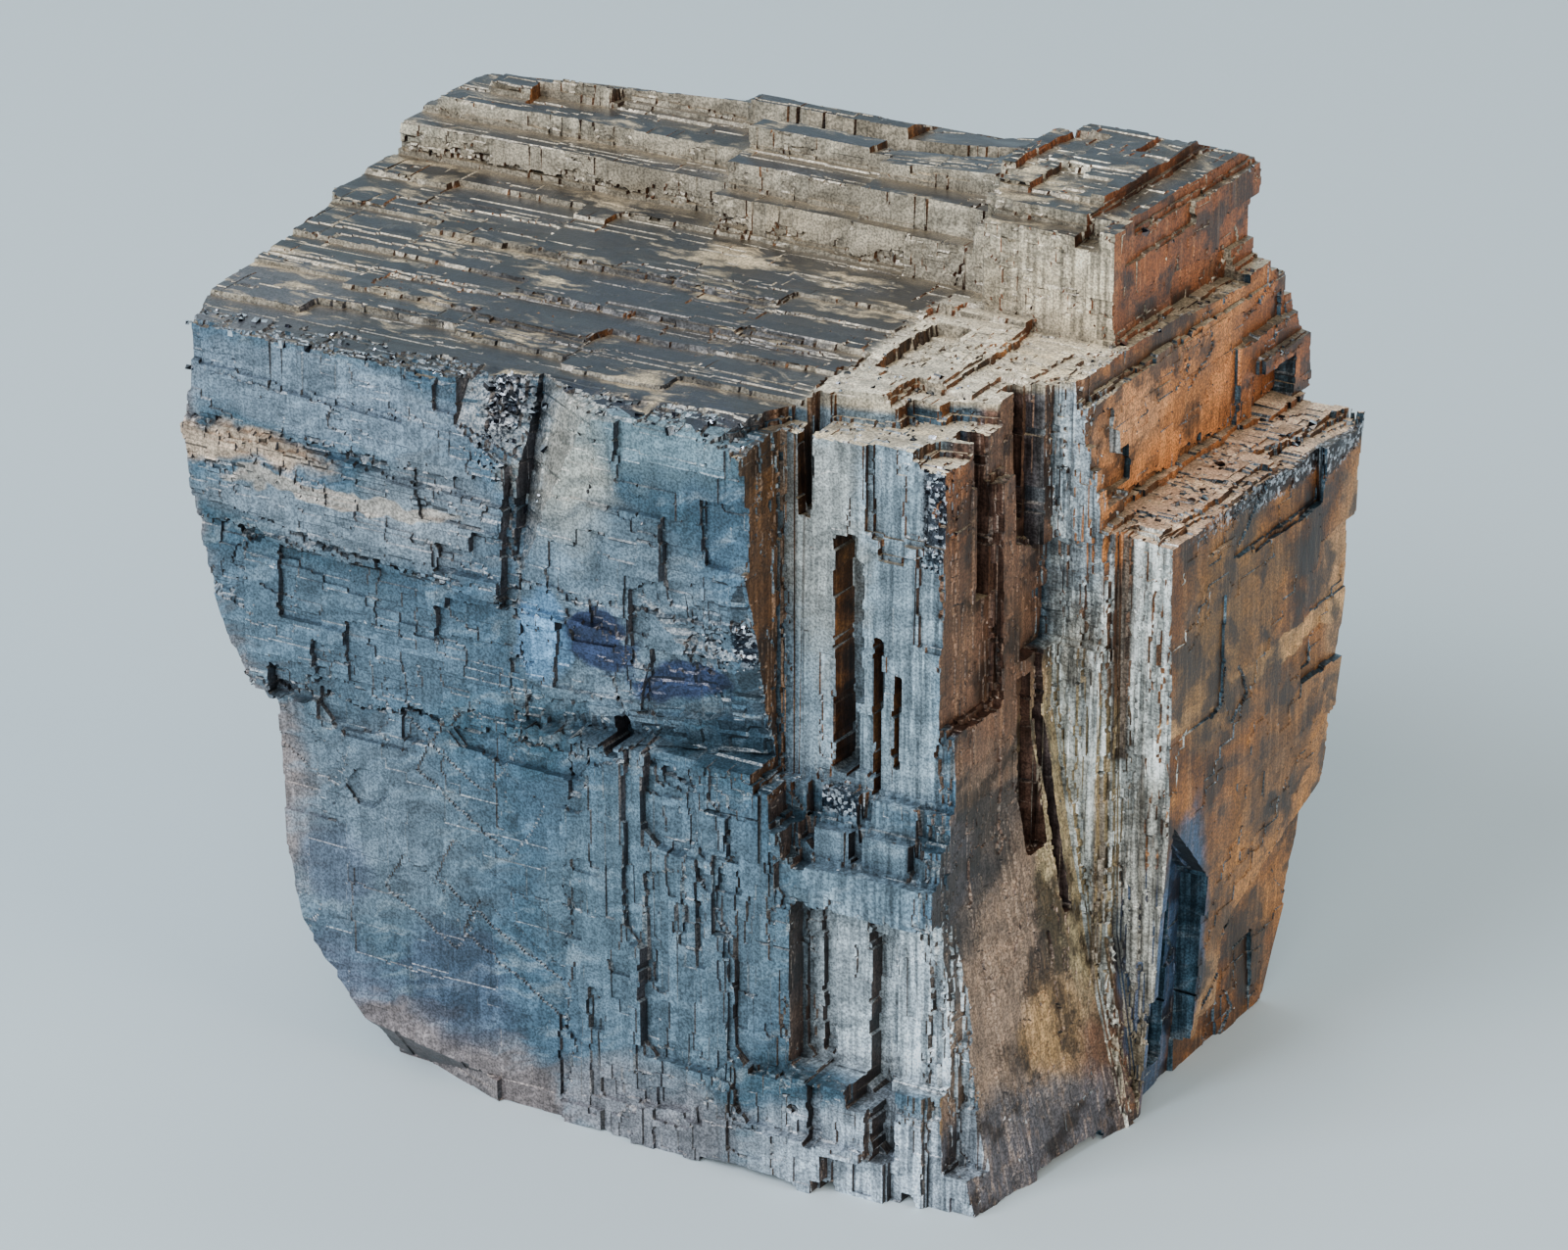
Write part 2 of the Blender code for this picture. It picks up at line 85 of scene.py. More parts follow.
class Side(Enum):
    """The six sides of the lump: the axis it is seen along and the sign of its outward normal."""

    FRONT = (1, -1)
    BACK = (1, 1)
    RIGHT = (0, 1)
    LEFT = (0, -1)
    TOP = (2, 1)
    BOTTOM = (2, -1)

    @property
    def axis(self) -> int:
        """Index of the axis that the side is seen along."""
        return self.value[0]

    @property
    def sign(self) -> int:
        """Sign of the outward normal."""
        return self.value[1]

    @property
    def plan(self) -> tuple[int, int]:
        """The two axes of the side's own plan."""
        first, second = [axis for axis in range(3) if axis != self.axis]
        return first, second


class Area(Enum):
    """The parts of the lump's skin that have a finish of their own."""

    FRONT_LEFT = 0
    FRONT_RIGHT = 1
    RIGHT = 2
    TOP = 3
    UNSEEN = 4


def to_part(points: Array) -> Array:
    """Moves points from the foot corner's millimetres to the part's frame.

    Args:
        points: Points in rows of three, in millimetres from the foot corner.

    Returns:
        The same points in metres in the part's frame.
    """
    return (points + np.array(FOOT)) * MM


def from_part(flat: Array) -> Array:
    """Moves points from the part's frame to the foot corner's millimetres.

    Args:
        flat: Coordinates in metres, one point after another.

    Returns:
        The points in rows of three, in millimetres from the foot corner.
    """
    return flat.reshape(-1, 3) / MM - np.array(FOOT)


def take(piece: bpy.types.Object) -> None:
    """Selects one piece alone and makes it the active one."""
    bpy.ops.object.select_all(action="DESELECT")
    piece.select_set(True)
    bpy.context.view_layer.objects.active = piece


@contextmanager
def editing() -> Iterator[None]:
    """Holds the active piece in edit mode, with all of it selected at the start."""
    bpy.ops.object.mode_set(mode="EDIT")
    bpy.ops.mesh.select_all(action="SELECT")
    yield
    bpy.ops.object.mode_set(mode="OBJECT")


def tint_faces(mesh: bpy.types.Mesh, tints: Array) -> None:
    """Gives each face the number from 0 to 1 that its material reads as its tint."""
    tint = mesh.attributes.new("plate_tint", "FLOAT", "FACE")
    tint.data.foreach_set("value", tints.astype(np.float32))


def cell_of(along: Array, size: float, shift: int = 500) -> Array:
    """Number of the equal cell that each place along a line is in.

    Args:
        along: Places along the line, in millimetres.
        size: Length of a cell, in millimetres.
        shift: Cells added, so that the numbers start above nothing.

    Returns:
        Whole numbers that fit a random table.
    """
    return np.floor(along / size + shift).astype(int) % TABLE


def runs(along: Array, size: float, rng: np.random.Generator) -> Array:
    """Random steps along a line, constant over each run.

    Args:
        along: Places along the line, in millimetres.
        size: Length of a run, in millimetres.
        rng: The random source.

    Returns:
        A value from -1 to 1 for each place.
    """
    return rng.uniform(-1.0, 1.0, TABLE)[cell_of(along, size, 512)]


def jag(along: Array, reach: float, rng: np.random.Generator) -> Array:
    """How far a broken plate edge wanders, in square steps of three sizes.

    Args:
        along: Places along the edge, in millimetres.
        reach: About the farthest that the edge wanders, in millimetres.
        rng: The random source.

    Returns:
        The offset at each place, in millimetres.
    """
    coarse = runs(along, 4.1, rng) * 0.5
    middle = runs(along, 1.3, rng) * 0.33
    fine = runs(along, 0.45, rng) * 0.17
    return reach * (coarse + middle + fine)


def blocks(along: Array, size: float, rng: np.random.Generator) -> Array:
    """Rounds places along a line to the middle of uneven blocks, so what varies with them steps.

    Args:
        along: Places along the line, in millimetres.
        size: Middling length of a block, in millimetres.
        rng: The random source.

    Returns:
        The middle of the block that each place is in.
    """
    ends = np.cumsum(size * rng.uniform(0.35, 1.65, int(340 / size))) - 170.0
    block = np.clip(np.searchsorted(ends, along), 1, len(ends) - 1)
    return (ends[block] + ends[block - 1]) / 2


def cloud(u: Array, v: Array, rng: np.random.Generator, octaves: int = 3) -> Array:
    """Smooth random height over a plane, from value noise of several octaves.

    Args:
        u: First coordinate, in units of the largest lumps.
        v: Second coordinate, in the same units.
        rng: The random source.
        octaves: How many sizes of lump are added.

    Returns:
        Values from 0 to 1, most of them near the middle.
    """
    total = np.zeros_like(u)
    weight = 0.0
    for octave in range(octaves):
        table = rng.random((CLOUD_TABLE, CLOUD_TABLE))
        scale = 2.0**octave
        x = u * scale + CLOUD_TABLE / 2
        y = v * scale + CLOUD_TABLE / 2
        column = np.floor(x).astype(int)
        row = np.floor(y).astype(int)
        fx = x - column
        fy = y - row
        fx = fx * fx * (3.0 - 2.0 * fx)
        fy = fy * fy * (3.0 - 2.0 * fy)
        left, right = column % CLOUD_TABLE, (column + 1) % CLOUD_TABLE
        low, high = row % CLOUD_TABLE, (row + 1) % CLOUD_TABLE
        near = table[low, left] * (1 - fx) + table[low, right] * fx
        far = table[high, left] * (1 - fx) + table[high, right] * fx
        total += (near * (1 - fy) + far * fy) / scale
        weight += 1.0 / scale
    return total / weight


def turned(u: Array, v: Array, degrees: float) -> tuple[Array, Array]:
    """Coordinates along and across a direction turned from the first axis.

    Args:
        u: First coordinate.
        v: Second coordinate.
        degrees: How far the direction is turned towards the second axis.

    Returns:
        The coordinate along the direction and the one across it.
    """
    angle = math.radians(degrees)
    return u * math.cos(angle) + v * math.sin(angle), v * math.cos(angle) - u * math.sin(angle)


@dataclass(frozen=True)
class Terraces:
    """Thin plates stacked like contour lines, with stair-stepped edges."""

    length: float
    width: float
    step: float
    levels: int
    turn: float = 0.0
    block: tuple[float, float] = (1.6, 0.6)

    def depth(self, u: Array, v: Array, rng: np.random.Generator) -> Array:
        """Depth of the terraces below the untouched plate.

        Args:
            u: First plan coordinate, in millimetres.
            v: Second plan coordinate, in millimetres.
            rng: The random source.

        Returns:
            The depth at each place, in millimetres.
        """
        stepped_u = blocks(u + jag(v, 0.4, rng), self.block[0], rng)
        stepped_v = blocks(v + jag(u, 0.15, rng), self.block[1], rng)
        along, across = turned(stepped_u, stepped_v, self.turn)
        height = cloud(along / self.length, across / self.width, rng)
        low, high = np.quantile(height, (0.03, 0.97))
        share = np.clip((height - low) / (high - low), 0.0, 0.999)
        return self.step * np.floor(share * self.levels)


@dataclass(frozen=True)
class Flakes:
    """Squared flakes lost from a plate, each with ragged edges."""

    count: int
    length: tuple[float, float]
    width: tuple[float, float]
    thickness: tuple[float, float]
    turn: float = 0.0
    reach: float = 0.5

    def depth(self, u: Array, v: Array, rng: np.random.Generator) -> Array:
        """Depth of the lost flakes, which add up where they overlap.

        Args:
            u: First plan coordinate, in millimetres.
            v: Second plan coordinate, in millimetres.
            rng: The random source.

        Returns:
            The depth at each place, in millimetres.
        """
        total = np.zeros_like(u)
        for _ in range(self.count):
            centre_u = rng.uniform(u.min(), u.max())
            centre_v = rng.uniform(v.min(), v.max())
            half_length = rng.uniform(*self.length) / 2
            half_width = rng.uniform(*self.width) / 2
            shifted_u = u - centre_u + jag(v, self.reach, rng)
            shifted_v = v - centre_v + jag(u, self.reach, rng)
            along, across = turned(shifted_u, shifted_v, self.turn)
            inside = (np.abs(along) < half_length) & (np.abs(across) < half_width)
            total += inside * rng.uniform(*self.thickness)
        return np.minimum(total, self.thickness[1] * 2.0)


@dataclass(frozen=True)
class Laminae:
    """Narrow upright strips, each broken off at its own depth and height."""

    width: float
    length: float
    deepest: float
    levels: int = 4

    def depth(self, u: Array, v: Array, rng: np.random.Generator) -> Array:
        """Depth of the strips.

        Args:
            u: First plan coordinate, in millimetres.
            v: Second plan coordinate, in millimetres.
            rng: The random source.

        Returns:
            The depth at each place, in millimetres.
        """
        wander = (cloud(u / 9.0, v / 7.0, rng, 2) - 0.5) * self.width * 1.5
        column = cell_of(u + wander, self.width)
        start = rng.uniform(0.0, 1.0, TABLE)[column]
        row = np.floor(v / self.length + start + 500).astype(int) % TABLE
        table = np.floor(rng.random((TABLE, TABLE)) ** 1.6 * self.levels) / self.levels
        return self.deepest * table[row, column]


@dataclass(frozen=True)
class Crush:
    """Crushed rind: small square pits in a share of the surface."""

    grain: float
    deepest: float
    share: float

    def depth(self, u: Array, v: Array, rng: np.random.Generator) -> Array:
        """Depth of the pits, thickest where the rind is most broken.

        Args:
            u: First plan coordinate, in millimetres.
            v: Second plan coordinate, in millimetres.
            rng: The random source.

        Returns:
            The depth at each place, in millimetres.
        """
        total = np.zeros_like(u)
        patches = cloud(u / 3.1, v / 3.1, rng)
        broken = patches < np.quantile(patches, self.share)
        for size, weight in ((self.grain, 0.45), (self.grain * 2.3, 0.55)):
            shift_u = rng.uniform(0.0, size)
            shift_v = rng.uniform(0.0, size)
            row, column = cell_of(v + shift_v, size), cell_of(u + shift_u, size)
            total += weight * rng.random((TABLE, TABLE))[row, column]
        return self.deepest * total * broken


@dataclass(frozen=True)
class Swell:
    """Smooth hollows, where the lump broke or weathered across its cleavage."""

    size: float
    deepest: float

    def depth(self, u: Array, v: Array, rng: np.random.Generator) -> Array:
        """Depth of the hollows.

        Args:
            u: First plan coordinate, in millimetres.
            v: Second plan coordinate, in millimetres.
            rng: The random source.

        Returns:
            The depth at each place, in millimetres.
        """
        return self.deepest * cloud(u / self.size, v / self.size, rng)


Relief = Terraces | Flakes | Laminae | Crush | Swell


@dataclass(frozen=True)
class Zone:
    """A stretch of one side and the reliefs that it carries."""

    low: tuple[float, float]
    high: tuple[float, float]
    reliefs: tuple[Relief, ...]

    def depth(self, u: Array, v: Array, rng: np.random.Generator) -> Array:
        """Depth of all the zone's reliefs, nothing outside its ragged outline.

        Args:
            u: First plan coordinate, in millimetres.
            v: Second plan coordinate, in millimetres.
            rng: The random source.

        Returns:
            The depth at each place, in millimetres.
        """
        total = np.zeros_like(u)
        room = 2.0
        columns = (u[0] >= self.low[0] - room) & (u[0] <= self.high[0] + room)
        rows = (v[:, 0] >= self.low[1] - room) & (v[:, 0] <= self.high[1] + room)
        part = np.ix_(rows, columns)
        part_u, part_v = u[part], v[part]
        if part_u.size == 0:
            return total
        edge_u = part_u + jag(part_v, 1.0, rng)
        edge_v = part_v + jag(part_u, 1.0, rng)
        inside = (edge_u > self.low[0]) & (edge_u < self.high[0])
        inside &= (edge_v > self.low[1]) & (edge_v < self.high[1])
        part_total = np.zeros_like(part_u)
        for relief in self.reliefs:
            part_total += relief.depth(part_u, part_v, rng)
        total[part] = part_total * inside
        return total


@dataclass(frozen=True)
class Fill:
    """A stretch of a side whose narrow gaps are partly closed, so that they are shallower."""

    low: tuple[float, float]
    high: tuple[float, float]
    radius: float
    share: float


@dataclass
class CleavageSheet:
    """One side of the lump as a fine relief over its plan.

    The relief is held as outwardness, the coordinate along the outward normal in millimetres.
    """

    side: Side
    cell: float
    seed: int
    ragged: float
    zones: tuple[Zone, ...]
    fills: tuple[Fill, ...] = ()
    margin: int = 3
    least_step: float = 0.03
    wall: float = 0.35
    levels: tuple[float, ...] = (0.1, 0.35, 0.65, 0.9)
    crowding: float = 0.32

    def cast(self, tree: BVHTree, low: Array, high: Array) -> None:
        """Reads the solid's surface along the side's axis.

        Args:
            tree: The solid's faces, in millimetres from the foot corner.
            low: Lowest corner of the solid's box.
            high: Highest corner of the solid's box.
        """
        first, second = self.side.plan
        # no two sheets share a grid line, so their cuts never run along each other
        shift = (self.seed * GOLDEN) % 1.0 * self.cell
        self.columns = np.arange(low[first] - self.cell - shift, high[first] + self.cell * 2, self.cell)
        self.rows = np.arange(low[second] - self.cell - shift, high[second] + self.cell * 2, self.cell)
        outer = high if self.side.sign > 0 else low
        inner = low if self.side.sign > 0 else high
        self.floor = inner[self.side.axis] * self.side.sign - 1.0
        start = Vector((0.0, 0.0, 0.0))
        start[self.side.axis] = outer[self.side.axis] + self.side.sign
        way = Vector((0.0, 0.0, 0.0))
        way[self.side.axis] = -self.side.sign
        self.out = np.full((len(self.rows), len(self.columns)), np.nan)
        for row, v in enumerate(self.rows):
            start[second] = v
            for column, u in enumerate(self.columns):
                start[first] = u
                hit = tree.ray_cast(start, way)[0]
                if hit is not None:
                    self.out[row, column] = hit[self.side.axis] * self.side.sign

    def seen(self, points: Array) -> Array:
        """Outwardness of the surface at the points' places in the side's plan.

        Args:
            points: Points with the coordinate in the last axis.

        Returns:
            The outwardness of the nearest sample, minus infinity where there is none.
        """
        first, second = self.side.plan
        column = np.rint((points[..., first] - self.columns[0]) / self.cell)
        row = np.rint((points[..., second] - self.rows[0]) / self.cell)
        column = np.clip(column, 0, len(self.columns) - 1).astype(int)
        row = np.clip(row, 0, len(self.rows) - 1).astype(int)
        return np.nan_to_num(self.out[row, column], nan=-np.inf)

    def stand_off(self, sheets: dict[Side, "CleavageSheet"]) -> Array:
        """Moves each tall wall that another sheet shapes one cell outwards, clear of it.

        Args:
            sheets: All the sheets, by side.

        Returns:
            The outwardness with those walls moved.
        """
        moved = self.out.copy()
        plan_u, plan_v = np.meshgrid(self.columns, self.rows)
        for plan_axis, array_axis in zip(self.side.plan, (1, 0)):
            for sign in (1, -1):
                near = np.roll(self.out, sign, axis=array_axis)
                tall = near - self.out > self.wall
                if not tall.any():
                    continue
                other = sheets[Side((plan_axis, sign))]
                clear = tall.copy()
                for share in self.levels:
                    point = np.empty(plan_u.shape + (3,))
                    point[..., self.side.plan[0]] = plan_u
                    point[..., self.side.plan[1]] = plan_v
                    level = near + (self.out - near) * share
                    point[..., self.side.axis] = level * self.side.sign
                    surface = other.seen(np.nan_to_num(point))
                    clear &= ~(surface > point[..., plan_axis] * sign + 0.1)
                moved = np.where(clear, np.fmax(moved, near), moved)
        return moved

    def fill_margin(self, out: Array) -> Array:
        """Carries the surface a few cells past its outline, and drops to the floor beyond.

        Args:
            out: Outwardness with holes outside the outline.

        Returns:
            Outwardness with no holes.
        """
        for _ in range(self.margin):
            grown = out.copy()
            for array_axis in (0, 1):
                for shift in (1, -1):
                    grown = np.fmax(grown, np.roll(out, shift, axis=array_axis))
            out = np.where(np.isnan(out), grown, out)
        return np.where(np.isnan(out), self.floor, out)

    def close(self, out: Array, u: Array, v: Array) -> Array:
        """Partly closes the narrow gaps of the fills' stretches.

        Args:
            out: Outwardness with no holes.
            u: First plan coordinate, in millimetres.
            v: Second plan coordinate, in millimetres.

        Returns:
            Outwardness with those gaps shallower.
        """
        for fill in self.fills:
            closed = out
            for pick in (np.maximum, np.minimum):
                for _ in range(round(fill.radius / self.cell)):
                    grown = closed
                    for array_axis in (0, 1):
                        for shift in (1, -1):
                            grown = pick(grown, np.roll(closed, shift, axis=array_axis))
                    closed = grown
            inside = (u > fill.low[0]) & (u < fill.high[0]) & (v > fill.low[1]) & (v < fill.high[1])
            out = np.where(inside, out + (closed - out) * fill.share, out)
        return out

    def carve(self, sheets: dict[Side, "CleavageSheet"]) -> None:
        """Roughens the step edges and cuts the zones' reliefs.

        Args:
            sheets: All the sheets, by side, before any is carved.
        """
        rng = np.random.default_rng(self.seed)
        out = self.fill_margin(self.stand_off(sheets))
        u, v = np.meshgrid(self.columns, self.rows)
        out = self.close(out, u, v)
        for _ in range(2):
            shift_u = np.rint(jag(v, self.ragged, rng) / self.cell).astype(int)
            shift_v = np.rint(jag(u, self.ragged, rng) / self.cell).astype(int)
            row, column = np.indices(out.shape)
            row = np.clip(row + shift_v, 0, out.shape[0] - 1)
            column = np.clip(column + shift_u, 0, out.shape[1] - 1)
            out = np.minimum(out, out[row, column])
        for zone in self.zones:
            out = out - zone.depth(u, v, rng)
        self.carved = np.maximum(out, self.floor)

    def crowd(self, axis: int) -> Array:
        """Moves the points on both sides of a step towards it, so that its riser is steep.

        Args:
            axis: The array axis that the step is crossed along.

        Returns:
            The move of each point along that axis, in millimetres.
        """
        step = np.abs(np.diff(self.carved, axis=axis)) > self.least_step
        none = np.zeros_like(self.carved[:, :1] if axis == 1 else self.carved[:1], dtype=bool)
        after = np.concatenate((step, none), axis=axis)
        before = np.concatenate((none, step), axis=axis)
        return (after.astype(float) - before.astype(float)) * self.cell * self.crowding

    def build(self) -> bpy.types.Object:
        """Makes the sheet a closed solid that reaches through to the far side.

        Returns:
            The sheet's object.
        """
        first, second = self.side.plan
        bpy.ops.object.select_all(action="DESELECT")
        cells = {"x_subdivisions": len(self.columns) - 1, "y_subdivisions": len(self.rows) - 1}
        bpy.ops.mesh.primitive_grid_add(size=1.0, **cells)
        sheet = bpy.context.object
        sheet.name = f"sheet_{self.side.name.lower()}"
        u, v = np.meshgrid(self.columns, self.rows)
        u = u + self.crowd(axis=1)
        v = v + self.crowd(axis=0)
        points = np.empty((u.size, 3))
        points[:, first] = u.ravel()
        points[:, second] = v.ravel()
        points[:, self.side.axis] = self.carved.ravel() * self.side.sign
        sheet.data.vertices.foreach_set("co", to_part(points).astype(np.float32).ravel())
        sheet.data.update()
        centre = [0.0, 0.0, 0.0]
        centre[self.side.axis] = (self.floor - 1.0) * self.side.sign
        centre = to_part(np.array(centre))
        flatten = [1.0, 1.0, 1.0]
        flatten[self.side.axis] = 0.0
        with editing():
            bpy.ops.mesh.region_to_loop()
            bpy.ops.mesh.extrude_edges_move()
            bpy.ops.transform.resize(value=flatten, orient_type="GLOBAL", center_override=tuple(centre))
            bpy.ops.mesh.edge_face_add()
            bpy.ops.mesh.select_all(action="SELECT")
            bpy.ops.mesh.normals_make_consistent(inside=False)
        return sheet


FRONT_ZONES = (
    # upper left plate: long streaks that fall to the right
    Zone((-80.0, 55.5), (-41.5, 67.0), (
        Terraces(15.0, 2.2, 0.05, 7, turn=-22.0, block=(1.8, 0.5)),
        Flakes(8, (3.0, 12.0), (0.6, 1.8), (0.06, 0.14), turn=-18.0, reach=0.3),
    )),
    # tan band and the plate under it
    Zone((-80.0, 46.5), (-41.5, 55.5), (
        Swell(8.0, 0.12),
        Terraces(16.0, 1.7, 0.1, 5, turn=-15.0, block=(1.8, 0.4)),
        Flakes(9, (3.0, 11.0), (0.3, 0.9), (0.06, 0.16), turn=-14.0, reach=0.3),
    )),
    Zone((-80.0, 33.0), (-41.0, 46.5), (
        Terraces(11.0, 2.6, 0.09, 6, turn=-14.0, block=(2.2, 0.6)),
        Flakes(10, (2.0, 9.0), (0.8, 3.0), (0.08, 0.2), turn=-12.0, reach=0.4),
    )),
    # middle plate: squared ledges
    Zone((-42.0, 47.0), (-20.0, 64.5), (
        Flakes(18, (2.0, 8.0), (1.2, 6.0), (0.05, 0.18), reach=0.25),
        Terraces(9.0, 7.0, 0.06, 4, block=(1.6, 1.3)),
    )),
    Zone((-42.0, 33.0), (-20.0, 47.0), (
        Flakes(16, (1.5, 6.0), (1.0, 4.0), (0.08, 0.25), reach=0.35),
        Terraces(7.0, 5.0, 0.09, 4, turn=-35.0, block=(1.1, 0.8)),
    )),
    # lower left: large smooth plates
    Zone((-80.0, -1.0), (-37.0, 33.0), (
        Swell(13.0, 0.7),
        Flakes(8, (5.0, 16.0), (3.0, 9.0), (0.05, 0.14), turn=-30.0, reach=0.4),
        Terraces(22.0, 9.0, 0.05, 4, turn=-35.0, block=(2.6, 1.9)),
    )),
    # lower middle: hackly steps
    Zone((-37.0, -1.0), (-16.0, 34.0), (
        Laminae(0.8, 4.5, 0.22),
        Flakes(34, (1.0, 4.0), (1.0, 5.0), (0.08, 0.3), reach=0.3),
    )),
    # pillar
    Zone((-20.0, 33.0), (-5.6, 64.0), (
        Flakes(12, (0.8, 3.0), (3.0, 10.0), (0.05, 0.16), reach=0.2),
        Laminae(0.9, 12.0, 0.08),
    )),
    # recess and foot
    Zone((-17.0, 8.0), (-2.0, 25.0), (
        Flakes(16, (0.8, 3.0), (1.5, 6.0), (0.06, 0.2), reach=0.2),
        Laminae(0.7, 6.0, 0.1),
    )),
    Zone((-17.0, -1.0), (7.0, 9.0), (
        Flakes(26, (1.0, 4.0), (0.8, 2.6), (0.08, 0.25), reach=0.2),
    )),
    # strips behind the column, striped top to bottom
    Zone((-5.6, 8.0), (7.0, 67.0), (
        Laminae(0.42, 14.0, 0.2, levels=3),
        Terraces(0.9, 18.0, 0.12, 4, block=(0.3, 2.2)),
    )),
    # risers of the upper terraces
    Zone((-80.0, 66.5), (-3.0, 76.0), (
        Flakes(18, (2.0, 9.0), (0.4, 1.4), (0.08, 0.25), reach=0.3),
        Crush(0.5, 0.2, 0.35),
    )),
    # crushed fringes
    Zone((-80.0, 65.2), (-20.0, 67.0), (Crush(0.35, 0.45, 0.5),)),
    Zone((-44.5, 57.5), (-41.0, 67.0), (Crush(0.35, 0.45, 0.6),)),
    Zone((-26.0, 42.0), (-19.5, 47.5), (Crush(0.35, 0.4, 0.5),)),
    Zone((-8.0, 54.0), (-5.0, 63.5), (Crush(0.35, 0.3, 0.4),)),
)

RIGHT_ZONES = (
    # outer face: broad plates with a slanting ledge
    Zone((21.0, -1.0), (60.0, 53.0), (
        Terraces(24.0, 7.0, 0.1, 4, turn=40.0, block=(1.6, 0.9)),
        Flakes(9, (3.0, 12.0), (1.0, 5.0), (0.06, 0.2), turn=35.0, reach=0.4),
        Swell(9.0, 0.25),
    )),
    # column face: fine stripes, top to bottom
    Zone((3.0, -1.0), (21.0, 67.0), (
        Terraces(2.6, 26.0, 0.08, 5, block=(0.35, 3.0)),
        Flakes(12, (0.5, 1.6), (3.0, 12.0), (0.06, 0.2), reach=0.2),
        Crush(0.5, 0.12, 0.4),
    )),
    Zone((-4.0, -1.0), (3.0, 67.0), (
        Terraces(1.4, 20.0, 0.08, 4, block=(0.35, 2.0)),
        Crush(0.5, 0.12, 0.4),
    )),
    # upper faces
    Zone((20.0, 52.0), (60.0, 76.0), (
        Terraces(14.0, 4.0, 0.09, 5, turn=20.0, block=(1.8, 0.5)),
        Flakes(10, (2.0, 8.0), (0.6, 2.5), (0.05, 0.16), turn=25.0, reach=0.3),
    )),
)

TOP_ZONES = (
    # long treads, striped left to right
    Zone((-80.0, -4.0), (-17.0, 60.0), (
        Terraces(26.0, 4.0, 0.07, 4, turn=4.0, block=(2.6, 0.6)),
        Flakes(30, (5.0, 20.0), (0.9, 3.4), (0.05, 0.14), turn=3.0, reach=0.45),
    )),
    Zone((-80.0, -4.0), (-19.0, 1.4), (Crush(0.35, 0.4, 0.5),)),
    Zone((-20.0, -4.0), (7.0, 60.0), (
        Terraces(8.0, 3.0, 0.07, 5, block=(1.2, 0.5)),
        Flakes(20, (1.5, 6.0), (0.6, 3.0), (0.05, 0.16), reach=0.25),
    )),
    Zone((-20.0, 2.0), (-4.0, 29.0), (Crush(0.4, 0.25, 0.35),)),
    Zone((-5.0, 20.0), (7.0, 60.0), (Crush(0.4, 0.25, 0.35),)),
)

LEFT_ZONES = (
    Zone((-4.0, -1.0), (60.0, 76.0), (
        Terraces(18.0, 6.0, 0.16, 5, turn=20.0, block=(2.0, 1.2)),
        Flakes(24, (3.0, 12.0), (1.5, 6.0), (0.1, 0.3)),
    )),
)

LEFT_FILLS = (Fill((-6.0, -2.0), (62.0, 78.0), 2.8, 0.8),)

BACK_ZONES = (
    Zone((-80.0, -1.0), (7.0, 76.0), (
        Terraces(20.0, 7.0, 0.18, 6, turn=-18.0, block=(2.2, 1.2)),
        Flakes(40, (3.0, 14.0), (1.5, 7.0), (0.1, 0.35)),
    )),
)

BACK_FILLS = (Fill((-82.0, -2.0), (8.0, 78.0), 2.8, 0.8),)

BOTTOM_ZONES = (
    Zone((-80.0, -4.0), (7.0, 60.0), (
        Flakes(24, (3.0, 12.0), (2.0, 8.0), (0.08, 0.2)),
        Crush(0.8, 0.2, 0.3),
    )),
)


FRONT_FILLS = (
    Fill((-62.0, 22.0), (-39.0, 36.0), 1.6, 0.9),
    Fill((-38.0, 2.0), (-17.5, 33.0), 1.2, 0.7),
    Fill((-17.0, 22.0), (-5.0, 33.5), 1.6, 0.6),
    Fill((-16.5, 2.0), (-2.0, 22.0), 0.8, 0.4),
)
TOP_FILLS = (Fill((-17.0, -4.0), (-5.0, 3.9), 1.6, 0.6),)


